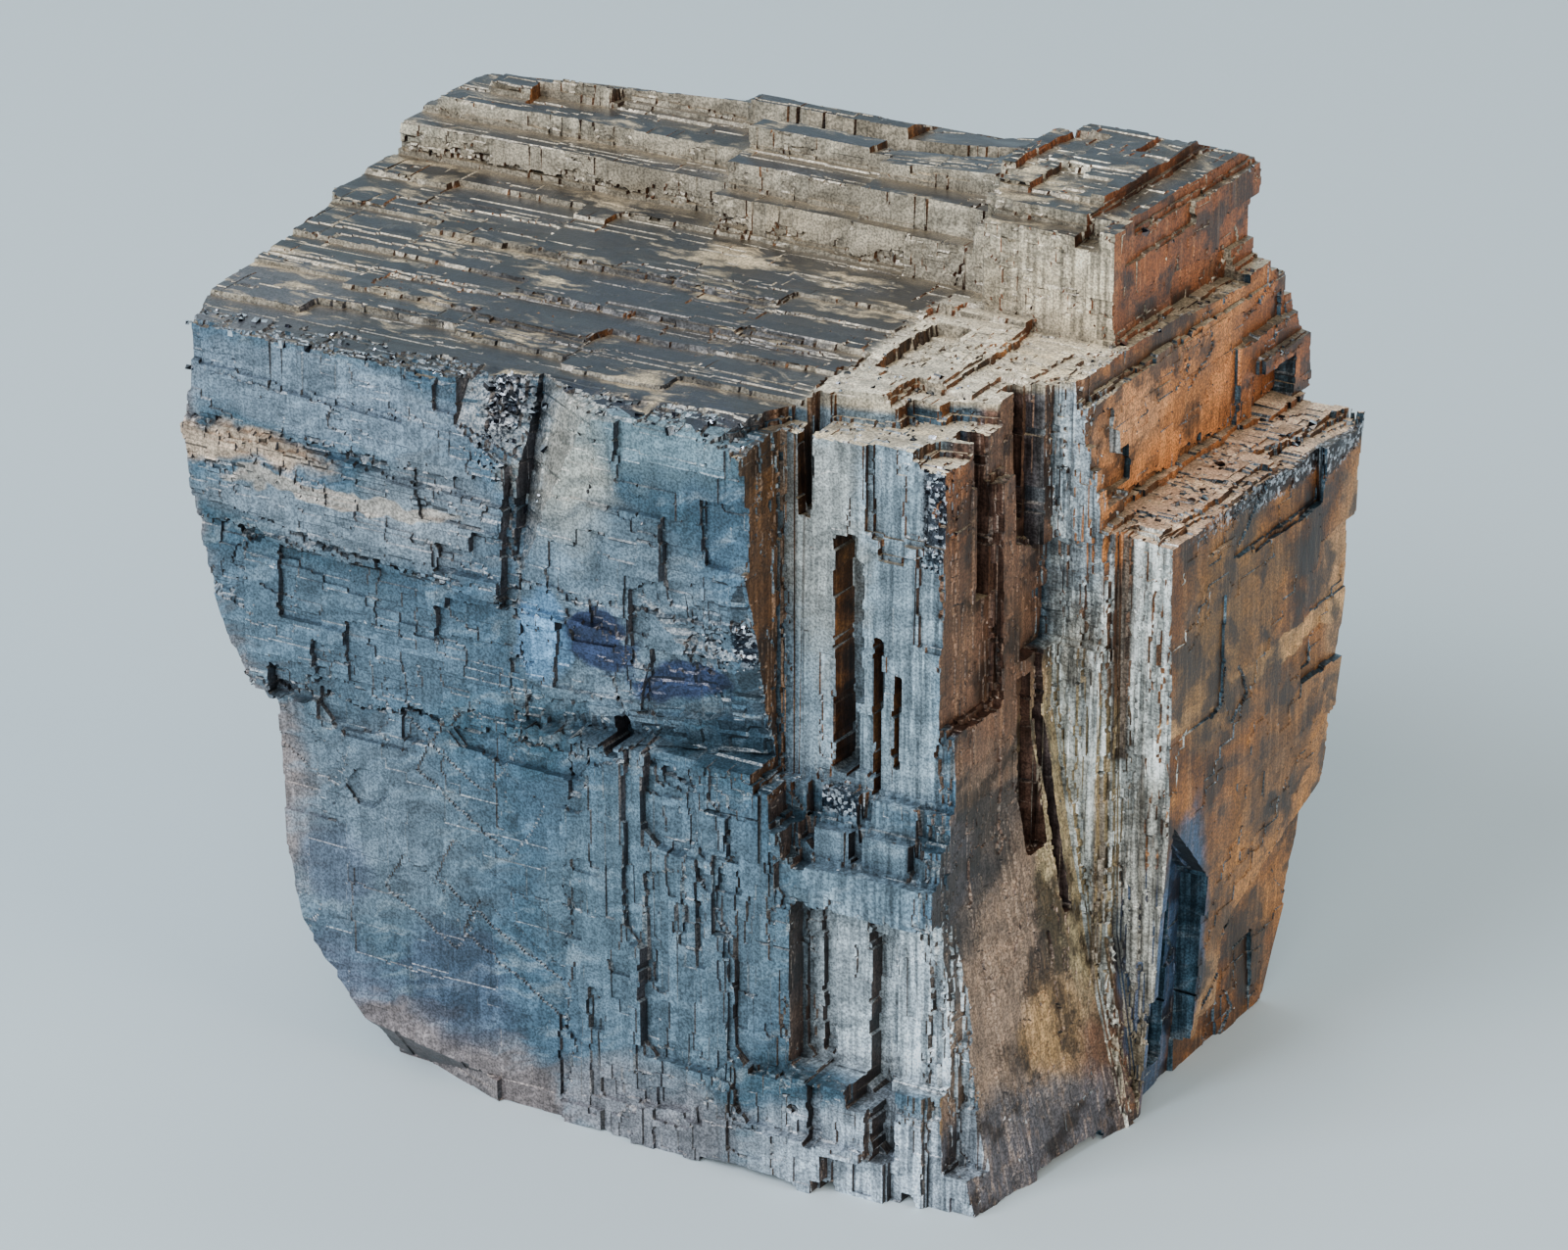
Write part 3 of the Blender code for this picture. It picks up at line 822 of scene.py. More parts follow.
@dataclass
class Specimen:
    """The lump: the frame's solid with its six sides as cleavage sheets.

    Cells, pillar_left and the treads are in millimetres and the angles in degrees.  A lean is the
    least part of a face's normal along an axis for the face to count as looking that way.
    """

    fine_cell: float = 0.2
    coarse_cell: float = 0.4
    flat_angle: float = 0.4
    crease_angle: float = 14.0
    pillar_left: float = -21.0
    left_tread: float = 63.5
    right_tread: float = 48.0
    back_lean: float = 0.4
    side_lean: float = 0.7
    right_lean: float = 0.65
    tread_lean: float = 0.86
    tint_cell: float = 0.5
    tints: int = 4096

    def sheets(self) -> dict[Side, CleavageSheet]:
        """Makes the six sheets, not yet cast.

        Returns:
            The sheets, by side.
        """
        fine, coarse = self.fine_cell, self.coarse_cell
        sheets = (
            CleavageSheet(Side.FRONT, fine, 11, 0.22, FRONT_ZONES, FRONT_FILLS),
            CleavageSheet(Side.RIGHT, fine, 12, 0.16, RIGHT_ZONES),
            CleavageSheet(Side.TOP, fine, 13, 0.3, TOP_ZONES, TOP_FILLS),
            CleavageSheet(Side.LEFT, coarse, 14, 0.5, LEFT_ZONES, LEFT_FILLS),
            CleavageSheet(Side.BACK, coarse, 15, 0.5, BACK_ZONES, BACK_FILLS),
            CleavageSheet(Side.BOTTOM, coarse, 16, 0.3, BOTTOM_ZONES),
        )
        return {sheet.side: sheet for sheet in sheets}

    def carve(self, solid: bpy.types.Object) -> bpy.types.Object:
        """Cuts the six sheets to one closed piece.

        Args:
            solid: The frame's solid, which is only read.

        Returns:
            The carved piece, still with all its small faces.
        """
        count = len(solid.data.vertices)
        corners = np.empty(count * 3)
        solid.data.vertices.foreach_get("co", corners)
        corners = from_part(corners)
        faces = [tuple(face.vertices) for face in solid.data.polygons]
        tree = BVHTree.FromPolygons([tuple(corner) for corner in corners], faces)
        self.sheet_table = self.sheets()
        for sheet in self.sheet_table.values():
            sheet.cast(tree, corners.min(0), corners.max(0))
        for sheet in self.sheet_table.values():
            sheet.carve(self.sheet_table)
        piece = None
        for side, sheet in self.sheet_table.items():
            solid_sheet = sheet.build()
            if piece is None:
                piece = solid_sheet
                continue
            cut = piece.modifiers.new("sheet", "BOOLEAN")
            cut.operation = "INTERSECT"
            cut.solver = "MANIFOLD"
            cut.object = solid_sheet
            bpy.context.view_layer.objects.active = piece
            bpy.ops.object.modifier_apply(modifier=cut.name)
            bpy.data.objects.remove(solid_sheet, do_unlink=True)
            log.info("cut %s, %d faces", side.name.lower(), len(piece.data.polygons))
        return piece

    def keep_largest(self, piece: bpy.types.Object) -> bpy.types.Object:
        """Removes the loose crumbs that the cut left, so one closed piece stays.

        Args:
            piece: The carved piece.

        Returns:
            The piece without them.
        """
        take(piece)
        with editing():
            bpy.ops.mesh.separate(type="LOOSE")
        parts = sorted(bpy.context.selected_objects, key=lambda part: -len(part.data.vertices))
        for crumb in parts[1:]:
            bpy.data.objects.remove(crumb, do_unlink=True)
        return parts[0]

    def tint(self, mesh: bpy.types.Mesh) -> None:
        """Gives each plate a random tint by its place, whatever order the cut left the faces in.

        Args:
            mesh: The merged plates.
        """
        centres = np.empty(len(mesh.polygons) * 3)
        mesh.polygons.foreach_get("center", centres)
        cells = np.floor(centres.reshape(-1, 3) / (self.tint_cell * MM)).astype(np.int64)
        keys = cells @ np.array(CELL_PRIMES) % self.tints
        tint_faces(mesh, np.random.default_rng(5).random(self.tints)[keys])

    def lighten(self, piece: bpy.types.Object) -> None:
        """Merges the flat faces to plates, gives each plate its own tint and thins the mesh.

        Args:
            piece: The carved piece.
        """
        take(piece)
        with editing():
            bpy.ops.mesh.remove_doubles(threshold=DOUBLES)
            bpy.ops.mesh.dissolve_limited(angle_limit=math.radians(self.flat_angle))
        self.tint(piece.data)
        with editing():
            bpy.ops.mesh.quads_convert_to_tris()
        count = len(piece.data.polygons)
        log.info("plates merged, %d triangles", count)
        if count > TRIANGLE_LIMIT:
            thin = piece.modifiers.new("thin", "DECIMATE")
            thin.ratio = TRIANGLE_LIMIT / count
            bpy.ops.object.modifier_apply(modifier=thin.name)
            with editing():
                bpy.ops.mesh.quads_convert_to_tris()
                bpy.ops.mesh.normals_make_consistent(inside=False)
        bpy.ops.object.shade_smooth_by_angle(angle=math.radians(self.crease_angle))

    def dress(self, piece: bpy.types.Object, finishes: dict[Area, bpy.types.Material]) -> None:
        """Gives each face the finish of the area that it looks out from.

        Args:
            piece: The thinned piece.
            finishes: The material of each area.
        """
        mesh = piece.data
        count = len(mesh.polygons)
        normals = np.empty(count * 3)
        mesh.polygons.foreach_get("normal", normals)
        across, back, up = normals.reshape(-1, 3).T
        centres = np.empty(count * 3)
        mesh.polygons.foreach_get("center", centres)
        centres = from_part(centres)
        lowest_tread = np.where(centres[:, 0] < self.pillar_left, self.left_tread, self.right_tread)
        unseen = (back > self.back_lean) | (across < -self.side_lean) | (up < -self.side_lean)
        choice = np.full(count, Area.FRONT_RIGHT.value)
        choice[centres[:, 0] < self.pillar_left] = Area.FRONT_LEFT.value
        choice[unseen] = Area.UNSEEN.value
        choice[across > self.right_lean] = Area.RIGHT.value
        choice[(up > self.tread_lean) & (centres[:, 2] > lowest_tread)] = Area.TOP.value
        mesh.materials.clear()
        for area in Area:
            mesh.materials.append(finishes[area])
        mesh.polygons.foreach_set("material_index", choice.astype(np.int32))
        mesh.update()

    def build(self, solid: bpy.types.Object, finishes: dict[Area, bpy.types.Material]) -> bpy.types.Object:
        """Makes the finished piece.

        Args:
            solid: The frame's solid, which is only read.
            finishes: The material of each area.

        Returns:
            The piece, placed like the solid it stands in for.
        """
        piece = self.keep_largest(self.carve(solid))
        self.lighten(piece)
        self.dress(piece, finishes)
        piece.name = "galena_plates"
        piece.data.name = piece.name
        report(piece)
        return piece


@dataclass(frozen=True)
class Fringe:
    """A stretch of a side where crumbs of the crushed rind still sit."""

    side: Side
    low: tuple[float, float]
    high: tuple[float, float]
    count: int
    size: tuple[float, float]
    deepest: float = -5.0


FRINGES = (
    Fringe(Side.FRONT, (-79.0, 64.8), (-20.5, 66.0), 170, (0.25, 0.75)),
    Fringe(Side.FRONT, (-45.0, 57.0), (-42.2, 66.0), 70, (0.25, 0.65)),
    Fringe(Side.FRONT, (-25.0, 43.0), (-20.5, 48.0), 40, (0.2, 0.5)),
    Fringe(Side.FRONT, (-8.0, 53.5), (-5.9, 62.5), 60, (0.2, 0.5)),
    Fringe(Side.TOP, (-79.0, -2.5), (-20.5, 1.5), 190, (0.25, 0.8)),
    Fringe(Side.TOP, (-19.0, 5.0), (-7.0, 19.0), 60, (0.3, 0.8)),
    Fringe(Side.TOP, (-5.0, 24.0), (4.0, 54.0), 60, (0.3, 0.9)),
)


@dataclass
class CrushedGrains:
    """Small squared crumbs grown on or stuck to the crushed edges, joined as one piece."""

    fringes: tuple[Fringe, ...]
    seed: int = 21

    def places(self, sheets: dict[Side, CleavageSheet]) -> list[tuple[Array, float]]:
        """Picks where each crumb sits, on the carved surface of its side.

        Args:
            sheets: The carved sheets, by side.

        Returns:
            The centre and size of each crumb, in millimetres from the foot corner.
        """
        rng = np.random.default_rng(self.seed)
        chosen = []
        for fringe in self.fringes:
            sheet = sheets[fringe.side]
            first, second = fringe.side.plan
            for _ in range(fringe.count):
                u = rng.uniform(fringe.low[0], fringe.high[0])
                v = rng.uniform(fringe.low[1], fringe.high[1])
                size = fringe.size[0] + (fringe.size[1] - fringe.size[0]) * rng.random() ** 2.5
                column = min(max(round((u - sheet.columns[0]) / sheet.cell), 0), len(sheet.columns) - 1)
                row = min(max(round((v - sheet.rows[0]) / sheet.cell), 0), len(sheet.rows) - 1)
                level, solid = sheet.carved[row, column], sheet.out[row, column]
                if np.isnan(solid) or level > solid + 0.01 or level < fringe.deepest:
                    continue
                centre = np.zeros(3)
                centre[first], centre[second] = u, v
                centre[fringe.side.axis] = (level - size * 0.2) * fringe.side.sign
                chosen.append((centre, size))
        return chosen

    def build(
        self, sheets: dict[Side, CleavageSheet], low: Array, high: Array, finish: bpy.types.Material
    ) -> bpy.types.Object:
        """Makes the crumbs as squared blocks of uneven sides, inside the solid's box.

        Args:
            sheets: The carved sheets, by side.
            low: Lowest corner of the solid's box, in metres.
            high: Highest corner of the solid's box, in metres.
            finish: The material of the crumbs.

        Returns:
            The joined piece.
        """
        rng = np.random.default_rng(self.seed + 1)
        bpy.ops.object.select_all(action="DESELECT")
        bpy.ops.mesh.primitive_cube_add(size=1.0)
        crumb = bpy.context.object
        with editing():
            bpy.ops.mesh.quads_convert_to_tris()
        shape = np.array([tuple(vertex.co) for vertex in crumb.data.vertices])
        faces = np.array([tuple(face.vertices) for face in crumb.data.polygons])
        bpy.data.objects.remove(crumb, do_unlink=True)
        points, triangles = [], []
        for centre, size in self.places(sheets):
            turn = Matrix.Rotation(rng.uniform(-0.5, 0.5), 3, "XYZ"[rng.integers(3)])
            turn = turn @ Matrix.Rotation(rng.uniform(-0.5, 0.5), 3, "XYZ"[rng.integers(3)])
            sides = size * rng.uniform(0.45, 1.0, 3)
            block = (shape * sides * rng.uniform(0.85, 1.15, shape.shape)) @ np.array(turn)
            block = to_part(block + centre)
            if (block.min(0) < low).any() or (block.max(0) > high).any():
                continue
            triangles.append(faces + len(points) * len(shape))
            points.append(block)
        mesh = bpy.data.meshes.new("galena_grains")
        mesh.from_pydata(np.concatenate(points).tolist(), [], np.concatenate(triangles).tolist())
        piece = bpy.data.objects.new("galena_grains", mesh)
        bpy.context.collection.objects.link(piece)
        tint_faces(mesh, rng.random(len(mesh.polygons)))
        mesh.materials.append(finish)
        report(piece)
        return piece


def report(piece: bpy.types.Object) -> None:
    """Logs a piece's name and how many faces it has."""
    log.info("%s: %d faces", piece.name, len(piece.data.polygons))


def srgb(code: str) -> tuple[float, float, float, float]:
    """Turns a hex colour to linear light.

    Args:
        code: Six hex digits, red first.

    Returns:
        Red, green, blue and an alpha of one.
    """
    levels = [int(code[place : place + 2], 16) / 255.0 for place in (0, 2, 4)]
    red, green, blue = (
        level / 12.92 if level <= 0.04045 else ((level + 0.055) / 1.055) ** 2.4 for level in levels
    )
    return red, green, blue, 1.0


class Graph:
    """A material's nodes while they are being laid out."""

    def __init__(self, name: str) -> None:
        """Starts an empty material of that name."""
        self.material = bpy.data.materials.new(name)
        self.material.use_nodes = True
        self.tree = self.material.node_tree
        self.tree.nodes.clear()

    def add(
        self, kind: str, inputs: dict | None = None, out: int | str = 0, **settings
    ) -> bpy.types.NodeSocket:
        """Adds a node, sets it and links its inputs.

        Args:
            kind: Node type, without the leading ShaderNode.
            inputs: By socket name or number, a value or the socket that feeds it.
            out: The output that is handed back.
            **settings: Attributes of the node.

        Returns:
            The output socket.
        """
        node = self.tree.nodes.new("ShaderNode" + kind)
        for name, value in settings.items():
            setattr(node, name, value)
        for name, value in (inputs or {}).items():
            if isinstance(value, bpy.types.NodeSocket):
                self.tree.links.new(value, node.inputs[name])
            else:
                node.inputs[name].default_value = value
        return node.outputs[out]

    def close(self, shader: bpy.types.NodeSocket) -> bpy.types.Material:
        """Links the shader to the output and hands the material back."""
        node = self.tree.nodes.new("ShaderNodeOutputMaterial")
        self.tree.links.new(shader, node.inputs["Surface"])
        return self.material

    def math(self, operation: str, *values) -> bpy.types.NodeSocket:
        """One scalar operation on the values, in order."""
        return self.add("Math", dict(enumerate(values)), operation=operation)

    def ramp(
        self, value, low: float, high: float, to_low: float = 0.0, to_high: float = 1.0
    ) -> bpy.types.NodeSocket:
        """A smooth rise of the value between two limits."""
        settings = {"Value": value, "From Min": low, "From Max": high, "To Min": to_low, "To Max": to_high}
        return self.add("MapRange", settings, interpolation_type="SMOOTHSTEP")

    def blend(self, share, first, second) -> bpy.types.NodeSocket:
        """Mixes two colours by a share."""
        return self.add("Mix", {0: share, 6: first, 7: second}, out=2, data_type="RGBA")

    def noise(self, position, scale: float, detail: float = 3.0, out: int = 0) -> bpy.types.NodeSocket:
        """Fractal noise with the given scale, in features per millimetre."""
        settings = {"Vector": position, "Scale": scale, "Detail": detail, "Roughness": 0.6}
        return self.add("TexNoise", settings, out=out)


@dataclass(frozen=True)
class Patch:
    """A stained stretch of the lump: its box, its colour and how soft its edge is.

    The stain is the egg that fills the box, or the box itself where it is squared.
    """

    low: tuple[float, float, float]
    high: tuple[float, float, float]
    colour: str = ""
    share: float = 1.0
    soft: float = 1.5
    squared: bool = False


FRONT_PATCHES = (
    # upper left plate: hazy left edge, tan band, blue-grey below it
    Patch((-84, -12, 30), (-72, 9, 72), "9c8d88", 0.75, 4.0),
    Patch((-78, -12, 55.5), (-43, 3, 64.5), "8593a0", 0.7, 3.0),
    Patch((-80, -12, 52.5), (-58, 3, 56), "cfb294", 0.8, 2.5),
    Patch((-74, -12, 46), (-42, 3, 53), "84909a", 0.75, 3.0),
    Patch((-84, -12, 32), (-42, 3, 46), "637887", 0.7, 4.0),
    # lower left plate: grey-blue, brownish haze along its edges
    Patch((-84, -12, 8), (-40, 30, 36), "66747f", 0.85, 7.0),
    Patch((-78, -12, -6), (-46, 30, 13), "5c6070", 0.75, 6.0),
    Patch((-86, -12, 4), (-62, 9, 38), "9b8a84", 0.8, 5.0),
    Patch((-70, -12, -8), (-34, 9, 7), "94847f", 0.75, 4.0),
    Patch((-64, -12, 14), (-56, 9, 22), "4d5668", 0.6, 2.0),
    Patch((-54, -12, 4), (-42, 9, 16), "4a5468", 0.6, 2.5),
    # middle plate: cream beside the notch, navy and sky blue stains below
    Patch((-42.5, -9, 50), (-32, 3, 67), "b5b3a6", 0.8, 3.0),
    Patch((-36, -9, 58), (-20, 3, 67), "8199a2", 0.7, 3.5),
    Patch((-44, -12, 33), (-20, 3, 58), "7d8c97", 0.55, 3.0),
    Patch((-38.5, -9, 40.5), (-30, 3, 47), "2a3654", 0.95, 0.8),
    Patch((-32, -9, 38), (-22, 3, 43.5), "2d3d60", 0.95, 0.8),
    Patch((-41.5, -9, 39), (-37.0, 3, 48), "74a0c4", 0.85, 1.0),
    # pillar and recess
    Patch((-20, 1, 33), (-5.6, 9, 66), "8797a0", 0.85, 2.0, squared=True),
    Patch((-21, 0, 42), (-12, 9, 66), "adafa9", 0.8, 3.0),
    Patch((-17, 0, 8), (-2, 15, 25), "b9c3c8", 0.85, 2.0, squared=True),
    Patch((-10, 0, 4), (-1, 15, 24), "cddbe4", 0.8, 2.5),
    # strips behind the column: pale, blue at the top, with dark brown lines of painted shade in the gaps
    # between them
    Patch((-5, 19, -2), (6, 26, 66), "eaf0ea", 1.0, 2.0, squared=True),
    Patch((-6, 17, 44), (0.8, 26, 70), "9fafba", 0.85, 2.5),
    Patch((-4.4, 17, 37), (-0.2, 26, 46), "7c7262", 0.6, 1.2),
    # painted shade: dark lines where the gaps between the strips lie
    Patch((0.1, 17, 32), (1.5, 26, 54), "5a4634", 0.95, 0.35, squared=True),
    Patch((-0.6, 17, 6), (0.4, 26, 31), "6f5535", 0.85, 0.3, squared=True),
    Patch((2.6, 17, 2), (3.1, 26, 33), "3b3430", 0.85, 0.2, squared=True),
    # column front, foot, risers of the treads
    Patch((-8, 4.6, 6), (1.5, 19, 68), "5a3a26", 0.9, 1.0, squared=True),
    Patch((-40, -12, -4), (-18, 26, 9), "8c8a8e", 0.8, 2.5),
    Patch((-22, -12, -4), (8, 12, 9), "aeb8c2", 0.8, 2.5),
    # painted highlight: the front-facing risers of the upper treads are painted cream, as lit
    Patch((-82, 1.4, 63.8), (-3, 60, 76), "c4b69c", 0.88, 0.5, squared=True),
    Patch((-66, 0, 63.0), (-18, 27, 69), "4c5058", 0.85, 5.0),
    # painted light: this front-facing riser is painted near white, as if lit
    Patch((-20, 34, 67), (-8, 48, 77), "fff4d8", 0.95, 1.5),
    Patch((-18, -9, 23), (-4, 5, 34), "7f929e", 0.6, 2.0),
    Patch((-40, -12, 4), (-16, 9, 35), "6b7f8c", 0.6, 4.0),
    Patch((-56, -12, 48), (-42, 3, 58), "8a9299", 0.6, 3.0),
    Patch((-70, -12, 51.0), (-46, 3, 52.6), "b9a995", 0.6, 0.8),
    Patch((0.2, 19, -2), (7, 26, 36), "8a857a", 0.8, 3.0),
    Patch((-6, 18, -4), (6, 26, 12), "bda988", 0.8, 2.5),
)

RIGHT_PATCHES = (
    # column: dark brown above, pinkish and tan below, grey foot
    Patch((-9, -9, -2), (3, 23, 70), "6c4c38", 1.0, 0.8, squared=True),
    Patch((-12, -6, 0), (6, 22, 38), "8c7766", 0.85, 5.0),
    Patch((-9, -2, 23), (3, 8, 34), "46506a", 0.8, 1.5),
    Patch((-9, 14, 6), (3, 26, 44), "ad9d76", 0.75, 3.0),
    Patch((-9, 9, 2), (3, 19, 16), "b08a58", 0.8, 2.0),
    Patch((-12, -6, -6), (8, 24, 9), "55575f", 0.85, 3.0),
    Patch((-9, -4, 5), (3, 1.5, 20), "b08850", 0.7, 1.0),
    Patch((-9, 3, 54), (-2, 9, 66), "8a5228", 0.8, 1.5),
    # outer face: tan to the right, mottled above, blue pocket
    Patch((2, 30, -2), (9, 64, 34), "bc8044", 0.85, 8.0),
    Patch((2, 50, 20), (9, 64, 50), "b88a5c", 0.8, 4.0),
    Patch((2, 34, 17), (9, 51, 31), "543d2a", 0.75, 3.0),
    Patch((2, 26, -4), (9, 44, 14), "b48c60", 0.6, 3.0),
    Patch((2, 24, 31), (9, 35, 45), "a47e50", 0.6, 2.5),
    Patch((3, 12, 34.2), (9, 64, 36.4), "cf9f68", 0.6, 1.2),
    Patch((2, 22, 30), (9, 44, 52), "7c5830", 0.75, 3.0),
    Patch((-3, 21, -4), (9, 32, 29), "3f5876", 0.95, 1.5),
    Patch((2, 24, 16), (9, 28, 23), "7a4a30", 0.8, 1.0),
    # upper faces: orange, a painted warm reflection, then brown on the top block
    Patch((-3, 20, 49), (1.2, 62, 64.5), "c47e46", 1.0, 1.0, squared=True),
    Patch((-3, 18, 52), (1.2, 37, 64), "f2b07c", 0.6, 4.0),
    Patch((-6, 44, 48), (2, 66, 66), "8a4a1c", 0.9, 5.0),
    Patch((-22, 26, 64), (-1, 62, 78), "8a4e28", 0.95, 0.8, squared=True),
)

# painted shade: right-facing risers on the front, on their side away from the key light, painted dark
RIGHT_PAINTED_SHADE = (
    Patch((-84, -12, -4), (-21.5, 9, 67), "394048", 0.9, 0.5, squared=True),
    Patch((-22, -12, -4), (-3.5, 19, 33), "3f3b3a", 0.85, 0.5, squared=True),
    Patch((-21.5, -9, 33), (-17, 4.2, 67), "53402f", 0.6, 0.5, squared=True),
)

TOP_PATCHES = (
    Patch((-86, -8, 60), (-60, 14, 70), "56565a", 0.6, 4.0),
    Patch((-60, 0, 60), (-18, 24, 70), "1a202c", 0.6, 5.0),
    Patch((-42, -6, 60), (-19, 5, 68), "1e2636", 0.7, 2.0),
    Patch((-20, 2, 60), (1, 30, 66.5), "e6d8bd", 0.92, 1.0, squared=True),
    Patch((-6, 21, 48), (8, 62, 54), "f0cdab", 0.95, 1.0, squared=True),
    Patch((-5, 28, 60), (4, 62, 67), "b9ac90", 0.8, 1.5, squared=True),
)

BACK_PATCHES = (
    Patch((-86, -6, -6), (-76, 20, 80), "8d7f7c", 0.7, 5.0),
    Patch((-60, 50, 20), (-20, 64, 70), "7a6450", 0.6, 8.0),
    Patch((-30, 50, -6), (8, 64, 30), "857660", 0.6, 8.0),
)

RIM_CRUSHED = (
    Patch((-80, -9, 65.1), (-19.5, 1.2, 68), soft=0.7),
    Patch((4.5, 20, 48), (8, 60, 54), soft=0.7),
)

FRONT_CRUSHED = RIM_CRUSHED[:1] + (
    Patch((-45.5, -9, 58.5), (-41.3, 3, 67), soft=1.2),
    Patch((-42, -9, 63.8), (-35, 3, 67), soft=1.2),
    Patch((-22.6, -9, 43), (-19.8, 3, 48), soft=0.8),
    Patch((-8.0, 0, 53), (-5.2, 9, 64), soft=0.8),
    Patch((-18, -9, 31), (-10, 5, 34.5), soft=0.8),
)


@dataclass(frozen=True)
class Brush:
    """The noise that draws out a side's stains: its stretch, its size and how far it is turned."""

    stretch: tuple[float, float, float]
    scale: float
    turn: float = 0.0
    detail: float = 4.0


@dataclass(frozen=True)
class GalenaFinish:
    """Tarnished galena, as one side of the lump shows it.

    Lead grey metal whose tarnish is blue-grey in front; the faces that look right are brown, with
    orange painted in for the warm light they reflect, and the treads are nearly black, where pale
    dust lies in the corners.  The eye also gets painted highlight on the upward-facing plate edges,
    painted shade on the downward-facing ones and in the crevices, upright stripes, a fine speckle
    and a sparkle where the cleavage is crushed.
    """

    name: str
    tones: tuple[str, str, str]
    brush: Brush
    patches: tuple[Patch, ...]
    crushed: tuple[Patch, ...] = ()
    over: tuple[Patch, ...] = ()
    mottle: float = 0.0
    dusty: float = 0.0
    # painted highlight on the upward-facing plate edges and painted shade on the downward-facing ones
    edge_highlight_share: float = 0.25
    painted_edge_highlight: str = "cdbfae"
    painted_edge_shade: str = "14151a"
    stripe: str = "a88460"
    lines: tuple[float, float] = (0.15, 0.15)
    dust: str = "d2b98e"
    crumb_dark: str = "17151d"
    crumb_light: str = "d4d7de"
    metallic: float = 0.5

    def cover(self, graph: Graph, position, patch: Patch, brush) -> bpy.types.NodeSocket:
        """How much of a patch's stain covers a place.

        Args:
            graph: The nodes being laid out.
            position: The place in millimetres.
            patch: The stretch.
            brush: Noise that draws the stain's edge out.

        Returns:
            The share socket.
        """
        centre = [(low + high) / 2 for low, high in zip(patch.low, patch.high)]
        half = [(high - low) / 2 for low, high in zip(patch.low, patch.high)]
        if patch.squared:
            away = graph.add("VectorMath", {0: position, 1: centre}, operation="SUBTRACT")
            away = graph.add("VectorMath", {0: away}, operation="ABSOLUTE")
            away = graph.add("VectorMath", {0: away, 1: half}, operation="SUBTRACT")
            split = graph.add("SeparateXYZ", {0: away}).node
            most = graph.math("MAXIMUM", split.outputs[0], split.outputs[1])
            most = graph.math("MAXIMUM", most, split.outputs[2])
            return graph.ramp(most, -patch.soft, patch.soft * 0.5, patch.share, 0.0)
        inverse = [1.0 / length for length in half]
        offset = [-middle / length for middle, length in zip(centre, half)]
        away = graph.add("VectorMath", {0: position, 1: inverse, 2: offset}, operation="MULTIPLY_ADD")
        away = graph.add("VectorMath", {0: away}, out="Value", operation="LENGTH")
        soft = patch.soft * 3.0 / sum(half)
        pull = 1.5 * soft + 0.3
        away = graph.math("MULTIPLY_ADD", brush, pull, away)
        edge = 1.0 + pull * 0.5
        return graph.ramp(away, edge - soft, edge + soft * 0.4, patch.share, 0.0)

    def stretched(self, graph: Graph, place, factors: tuple[float, float, float]) -> bpy.types.NodeSocket:
        """Scales a place along each axis, so a pattern that reads it is drawn out."""
        return graph.add("VectorMath", {0: place, 1: factors}, operation="MULTIPLY")

    def tarnish(
        self, graph: Graph, place, wander, broad, brush, stripes, shade
    ) -> bpy.types.NodeSocket:
        """The side's colour from its tones, its patches, its mottling and its dust.

        Args:
            graph: The nodes being laid out.
            place: The place in millimetres.
            wander: The same place, wandering a little.
            broad: Noise of broad clouds.
            brush: Noise drawn out along the side's streaks.
            stripes: Noise of upright stripes.
            shade: How open the place is, one where nothing stands near.

        Returns:
            The colour socket.
        """
        middle, deep, warm = (srgb(tone) for tone in self.tones)
        colour = graph.blend(graph.ramp(broad, 0.35, 0.65), middle, deep)
        colour = graph.blend(graph.ramp(brush, 0.5, 0.72, 0.0, 0.6), colour, warm)
        for patch in self.patches:
            position = place if patch.squared else wander
            colour = graph.blend(self.cover(graph, position, patch, brush), colour, srgb(patch.colour))
        if self.mottle:
            colour = graph.blend(graph.ramp(brush, 0.5, 0.4, 0.0, self.mottle), colour, deep)
            colour = graph.blend(graph.ramp(stripes, 0.5, 0.7, 0.0, 0.2), colour, srgb(self.stripe))
        # the over patches are laid last; on the right finish they are painted shade
        for patch in self.over:
            colour = graph.blend(self.cover(graph, place, patch, brush), colour, srgb(patch.colour))
        if self.dusty:
            dust = graph.math("MULTIPLY_ADD", broad, 0.9, graph.math("SUBTRACT", brush, 0.45))
            dust = graph.ramp(dust, 0.56, 0.74, 0.0, self.dusty)
            dust = graph.math("MAXIMUM", dust, graph.ramp(shade, 0.74, 0.5, 0.0, self.dusty))
            colour = graph.blend(dust, colour, srgb(self.dust))
        return colour

    def edges(self, graph: Graph, colour, riser, upward, speck, shade) -> bpy.types.NodeSocket:
        """Paints light and shade over a colour: painted highlight on the upward-facing plate edges, painted
        shade on the downward-facing ones and in the dark crevices.

        Args:
            graph: The nodes being laid out.
            colour: The colour under them.
            riser: How far the place is a small slanting riser.
            upward: The upright part of the face's normal.
            speck: Fine noise that breaks the pale lines of painted highlight.
            shade: How open the place is.

        Returns:
            The colour socket.
        """
        # painted highlight: the risers turn pale, most where they face up towards the light
        light = graph.math("MULTIPLY", riser, graph.ramp(upward, -0.25, 0.15, 0.05, self.edge_highlight_share))
        light = graph.math("MULTIPLY", light, graph.ramp(speck, 0.4, 0.6, 0.3, 1.0))
        colour = graph.blend(light, colour, srgb(self.painted_edge_highlight))
        # painted shade: the risers that face down, and the crevices that little light reaches, turn dark
        dark = graph.math("MULTIPLY", riser, graph.ramp(upward, 0.0, -0.3, 0.0, 0.75))
        dark = graph.math("MAXIMUM", dark, graph.ramp(shade, 0.72, 0.25, 0.0, 0.8))
        return graph.blend(dark, colour, srgb(self.painted_edge_shade))

